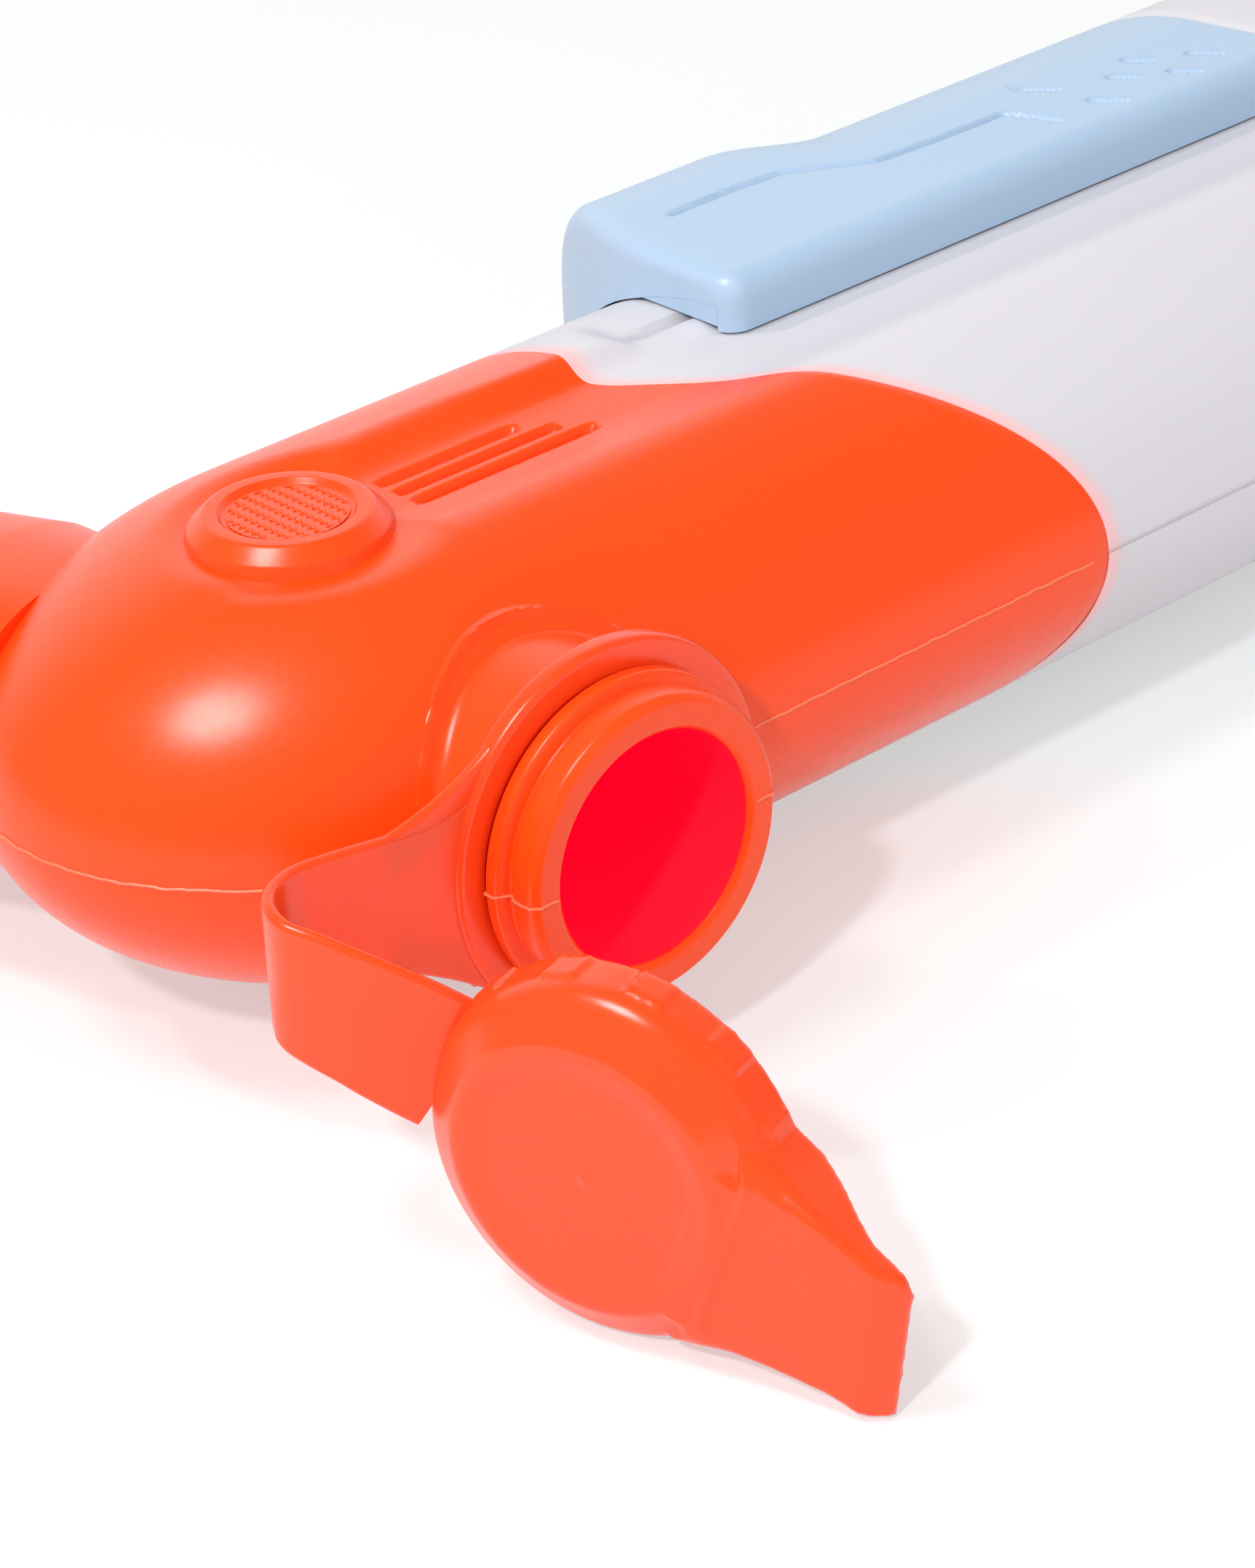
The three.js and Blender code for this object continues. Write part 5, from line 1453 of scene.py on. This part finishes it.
    def tab(self) -> list[BMesh]:
        """Builds the tab's wedge and the plate that carries the face on to it, and returns both."""
        start, root = self.tab_up[0][0], self.cap_radius - 1.2
        wedge = [self.tab_ring(mix(start, self.tab_tip, k / 60), root, False) for k in range(61)]
        root = self.face_radius - 0.4
        plate = [self.tab_ring(mix(start, self.plate_end, k / 32), root, True) for k in range(33)]
        return [Bench.loft(rings, (True, True)) for rings in (wedge, plate)]

    def tab_ring(self, reach: float, root: float, thin: bool) -> list[Vector]:
        """Finds a section of the tab.

        Args:
            reach: Place along the tab from the cap's middle.
            root: Radius of the round root about the cap's middle.
            thin: Whether it is the plate that carries the face on, rather than the wedge.

        Returns:
            The section's places.
        """
        tables = (
            self.tab_front, self.tab_back, self.tab_up, self.tab_up_edge, self.tab_low, self.tab_low_edge)
        front, back, up, up_edge, low, low_edge = (along_table(reach, table) for table in tables)
        if thin:
            edge = self.plate_edge
            back, up, low = self.plate_back, up - up_edge + edge, low - low_edge + edge
            up_edge = low_edge = edge
        deep = front - back
        rear_edge = min(0.4, deep * 0.15)
        corners = [
            (-low, front, min(low_edge, deep * 0.8)), (up, front, min(up_edge, deep * 0.8)),
            (up, back, rear_edge), (-low, back, rear_edge),
        ]
        tilt = self.tab_skew * smooth_step(*self.skew_span, reach)
        places = []
        for y, z in rounded(corners, True, 5):
            inner = math.sqrt(max(0.0, root * root - y * y))
            places.append(Vector((max(inner, reach - tilt * y), y, z)))
        return places

    def nub(self) -> BMesh:
        """Builds the gate mark in the middle of the face and returns it."""
        bm = bmesh.new()
        bmesh.ops.create_uvsphere(
            bm, u_segments=20, v_segments=12, radius=1.0, matrix=Matrix.Translation((0, 0, -0.6)))
        bmesh.ops.scale(bm, vec=(0.75, 0.5, 0.45), verts=bm.verts, space=Matrix.Translation((0, 0, 0.6)))
        return bm

    def pads(self) -> list[BMesh]:
        """Builds the low finger pads round the skirt and returns them."""
        pads = []
        for i in range(self.pad_count):
            turn = self.pad_phase + 2 * math.pi * i / self.pad_count
            if abs(math.atan2(math.sin(turn), math.cos(turn))) < self.pad_gap:
                continue
            bm = bmesh.new()
            size = Matrix.Diagonal((*self.pad_size, 1))
            place = Matrix.Rotation(turn, 4, "Z") @ Matrix.Translation((self.cap_radius - 0.45, 0, -6.3))
            bmesh.ops.create_cube(bm, size=1.0, matrix=place @ size)
            pads.append(bm)
        return pads


@dataclass
class Muzzle:
    """Nozzle and the collar that holds it in the casing's nose."""

    rack: FinishRack
    axis_y: float = 4.0
    collar_rear: float = 196.3
    collar_length: float = 6.0
    collar_radius: float = 11.0
    nozzle_rear: float = 180.01
    nozzle_radius: float = 4.6
    tip_radius: float = 2.6
    stick_out: float = 9.0

    def build(self) -> None:
        """Builds both pieces."""
        front = self.collar_rear + self.collar_length
        tip = front + self.stick_out
        hole = self.nozzle_radius + 0.3
        collar = rounded([
            (hole, self.collar_rear, 0.2), (self.collar_radius, self.collar_rear, 0.5),
            (self.collar_radius, front - 2.0, 0.8), (self.collar_radius - 2.4, front, 0.8),
            (hole, front, 0.3),
        ], True)
        nozzle = rounded([
            (1.0, self.nozzle_rear, 0.1), (self.nozzle_radius, self.nozzle_rear, 0.3),
            (self.nozzle_radius, front + 1.0, 0.8), (self.tip_radius, tip - 1.0, 0.6),
            (self.tip_radius - 0.8, tip, 0.4), (1.0, tip, 0.2),
        ], True)
        turn = Matrix.Translation((0, self.axis_y, 0)) @ Matrix.Rotation(math.pi / 2, 4, "Y")
        for name, node, profile in (("muzzle_collar", "nozzle_collar", collar), ("jet", "nozzle", nozzle)):
            bm = Bench.moved(Bench.spun(profile, 64), turn)
            Bench.piece(bm, name, self.rack.tank, Body.MAIN, "tank", (node,))


@dataclass
class Works:
    """Pump, valves and tubes inside the casing, which keep their solids but for the valve springs."""

    rack: FinishRack
    spring_wire: float = 0.35
    spring_turns: int = 4
    ball_lift: float = 1.5
    spring_slack: float = 0.1

    def spring(self, valve: str) -> Object:
        """Winds a valve's spring, which shortens as its ball lifts.

        Args:
            valve: Name of the valve, inlet or outlet.

        Returns:
            The spring.
        """
        solid = f"{valve}_valve_spring"
        to_toy = TO_ROW.inverted()
        low, high = (to_toy @ Vector(corner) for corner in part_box(solid))
        middle = (low + high) / 2
        radius = (high.z - low.z) / 2 - self.spring_wire
        steps = self.spring_turns * 24
        run = []
        for k in range(steps + 1):
            t = k / steps
            a = 2 * math.pi * self.spring_turns * t
            x = mix(low.x + self.spring_wire, high.x - self.spring_wire, t)
            run.append(Vector((x, middle.y + radius * math.cos(a), middle.z + radius * math.sin(a))))
        coil = Bench.tube(run, self.spring_wire, 10)
        item = Bench.piece(
            coil, f"{valve}_spring_coil", self.rack.steel, Body.MAIN, "steel", (solid,), 60.0)
        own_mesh(item)
        return item

    def dress(self, nodes: dict[str, Object]) -> None:
        """Gives each inner solid its finish.

        Args:
            nodes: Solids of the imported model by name.
        """
        finishes = {
            self.rack.natural: ("rod_guide", "piston", "piston_rod", "pump_carriage", "pump_head",
                                "outlet_valve_body", "inlet_valve_body"),
            self.rack.clear: ("pump_cylinder", "pickup_tube", "suction_hose"),
            self.rack.seal: ("piston_ring", "outlet_grommet"),
            self.rack.steel: ("outlet_valve_ball", "inlet_valve_ball"),
        }
        for finish, names in finishes.items():
            for name in names:
                nodes[name].data.materials.clear()
                nodes[name].data.materials.append(finish)
                LOG.info("%s: dressed", name)


@dataclass(frozen=True)
class Lamp:
    """Soft round lamp, there to light the toy or to be mirrored in it. Its sizes are in metres."""

    name: str
    place: tuple[float, float, float]
    size: float
    power: float
    shine: bool = False
    target: tuple[float, float, float] = (-0.04, -0.03, 0.02)

    def hang(self) -> None:
        """Hangs the lamp, aimed at the toy."""
        data = bpy.data.lights.new(self.name, "AREA")
        data.shape = "DISK"
        data.size = self.size
        data.energy = self.power
        item = bpy.data.objects.new(self.name, data)
        item.visible_glossy = self.shine
        item.visible_diffuse = not self.shine
        item.location = self.place
        aim = Vector(self.target) - Vector(self.place)
        item.rotation_euler = aim.to_track_quat("-Z", "Y").to_euler()
        bpy.context.scene.collection.objects.link(item)


@dataclass
class Studio:
    """Pale floor, soft light and the camera. Levels named shown are for the rays that show the set."""

    azimuth: float = -40.619
    elevation: float = 28.922
    roll: float = -3.424
    focal_px: float = 6700.0
    sensor: float = 36.0
    eye: Vector = field(default_factory=lambda: Vector((-254.05, -336.07, 221.11)))
    floor_half: float = 6.0
    floor_tone: Colour = (0.8, 0.8, 0.805)
    floor_shown: Colour = (0.485, 0.5, 0.502)
    floor_lift: float = 0.5
    world_level: float = 0.48
    wall_ends: Flat = (34.0, 60.0)
    wall_shown: Flat = (1.0, 0.1)
    bright_way: tuple[float, float, float] = (0.65, 0.76, 0.0)
    bright_ends: Flat = (0.25, 0.8)
    bright_shown: Flat = (0.2, 1.25)
    lamps: tuple[Lamp, ...] = (
        Lamp("key_light", (-0.47, 0.0, 0.88), 0.2, 2.2),
        Lamp("key_shine", (-0.47, 0.0, 0.88), 0.3, 6.0, True),
        Lamp("left_light", (-0.66, -0.34, 0.64), 0.06, 3.9),
        Lamp("side_light", (-0.5, 0.41, 0.75), 0.07, 1.7),
        Lamp("front_light", (0.1, -0.9, 0.35), 0.5, 1.2),
    )

    def build(self) -> None:
        """Builds the set."""
        bpy.context.scene.view_settings.view_transform = "Standard"
        self.floor()
        self.world()
        for lamp in self.lamps:
            lamp.hang()
        self.camera()

    def camera(self) -> None:
        """Sets the camera at the photograph's place."""
        a, e, r = (math.radians(v) for v in (self.azimuth, self.elevation, self.roll))
        ahead = Vector((-math.sin(a) * math.cos(e), math.cos(a) * math.cos(e), -math.sin(e)))
        right = Vector((math.cos(a), math.sin(a), 0))
        up = right.cross(ahead)
        right, up = right * math.cos(r) + up * math.sin(r), up * math.cos(r) - right * math.sin(r)
        data = bpy.data.cameras.new("camera")
        data.sensor_fit = "VERTICAL"
        data.sensor_height = self.sensor
        data.lens = self.sensor * self.focal_px / PHOTO_HEIGHT
        data.clip_start = 0.01
        eye = bpy.data.objects.new("camera", data)
        turn = Matrix((right, up, -ahead)).transposed().to_4x4()
        eye.matrix_world = Matrix.Translation(TO_ROW @ self.eye) @ turn
        bpy.context.scene.collection.objects.link(eye)
        bpy.context.scene.camera = eye

    def floor(self) -> None:
        """Lays the pale floor, lifted by a light of its own in the rays that show it."""
        bm = bmesh.new()
        bmesh.ops.create_grid(bm, x_segments=2, y_segments=2, size=self.floor_half)
        item = Bench.placed(bm, "floor")
        material = bpy.data.materials.new("floor_paper")
        material.use_nodes = True
        wiring = Wiring(material.node_tree)
        wiring.tree.nodes.clear()
        shown = self.shown(wiring)
        tone = wiring.blend(shown, (*self.floor_tone, 1.0), (*self.floor_shown, 1.0))
        paper = wiring.add("BsdfDiffuse", {"Color": tone}).outputs["BSDF"]
        lift = wiring.add("Emission", {"Strength": wiring.maths("MULTIPLY", shown, self.floor_lift)})
        both = wiring.add("AddShader", {0: paper, 1: lift.outputs["Emission"]})
        wiring.add("OutputMaterial", {"Surface": both.outputs["Shader"]})
        item.data.materials.append(material)

    def world(self) -> None:
        """Sets a surround that lights the toy evenly.

        It is mirrored as bright walls under a dim ceiling, and the camera sees plain white.
        """
        world = bpy.data.worlds.new("surround")
        bpy.context.scene.world = world
        world.use_nodes = True
        wiring = Wiring(world.node_tree)
        way = wiring.add("TexCoord").outputs["Generated"]
        height = wiring.add("SeparateXYZ", {"Vector": way}).outputs["Z"]
        low, high = (math.sin(math.radians(angle)) for angle in self.wall_ends)
        wall = wiring.ramp(height, (low, high), self.wall_shown, "SMOOTHSTEP")
        facing = wiring.add("VectorMath", {0: way, 1: self.bright_way}, operation="DOT_PRODUCT")
        side = wiring.ramp(facing.outputs["Value"], self.bright_ends, self.bright_shown, "SMOOTHSTEP")
        mirrored = wiring.maths("MULTIPLY", wall, side)
        level = wiring.blend(self.shown(wiring), self.world_level, mirrored, "FLOAT")
        seen = wiring.add("LightPath").outputs["Is Camera Ray"]
        wiring.feed(wiring.tree.nodes["Background"], {
            "Color": (1.0, 1.0, 1.0, 1.0), "Strength": wiring.maths("MAXIMUM", level, seen)})

    @staticmethod
    def shown(wiring: Wiring) -> NodeSocket:
        """Adds the test for rays that show the set: from the camera, mirrored or passed on.

        Args:
            wiring: Nodes of the floor or the world.

        Returns:
            1 for such rays and 0 for the light on the toy.
        """
        path = wiring.add("LightPath").outputs
        seen = wiring.maths("MAXIMUM", path["Is Camera Ray"], path["Is Glossy Ray"])
        return wiring.maths("MAXIMUM", seen, path["Is Transmission Ray"])


def main() -> None:
    """Builds the toy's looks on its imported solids."""
    logging.basicConfig(level=logging.INFO, format="%(message)s")
    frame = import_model()
    rack = FinishRack()
    barrel = Barrel()
    Studio().build()
    Tank(barrel, rack).build()
    Casing(barrel, rack).build()
    PumpHandle(rack).build()
    Closure(rack).build()
    Muzzle(rack).build()
    works = Works(rack)
    works.dress(frame["nodes"])
    for valve in ("inlet", "outlet"):
        works.spring(valve)


if __name__ == "__main__":
    main()
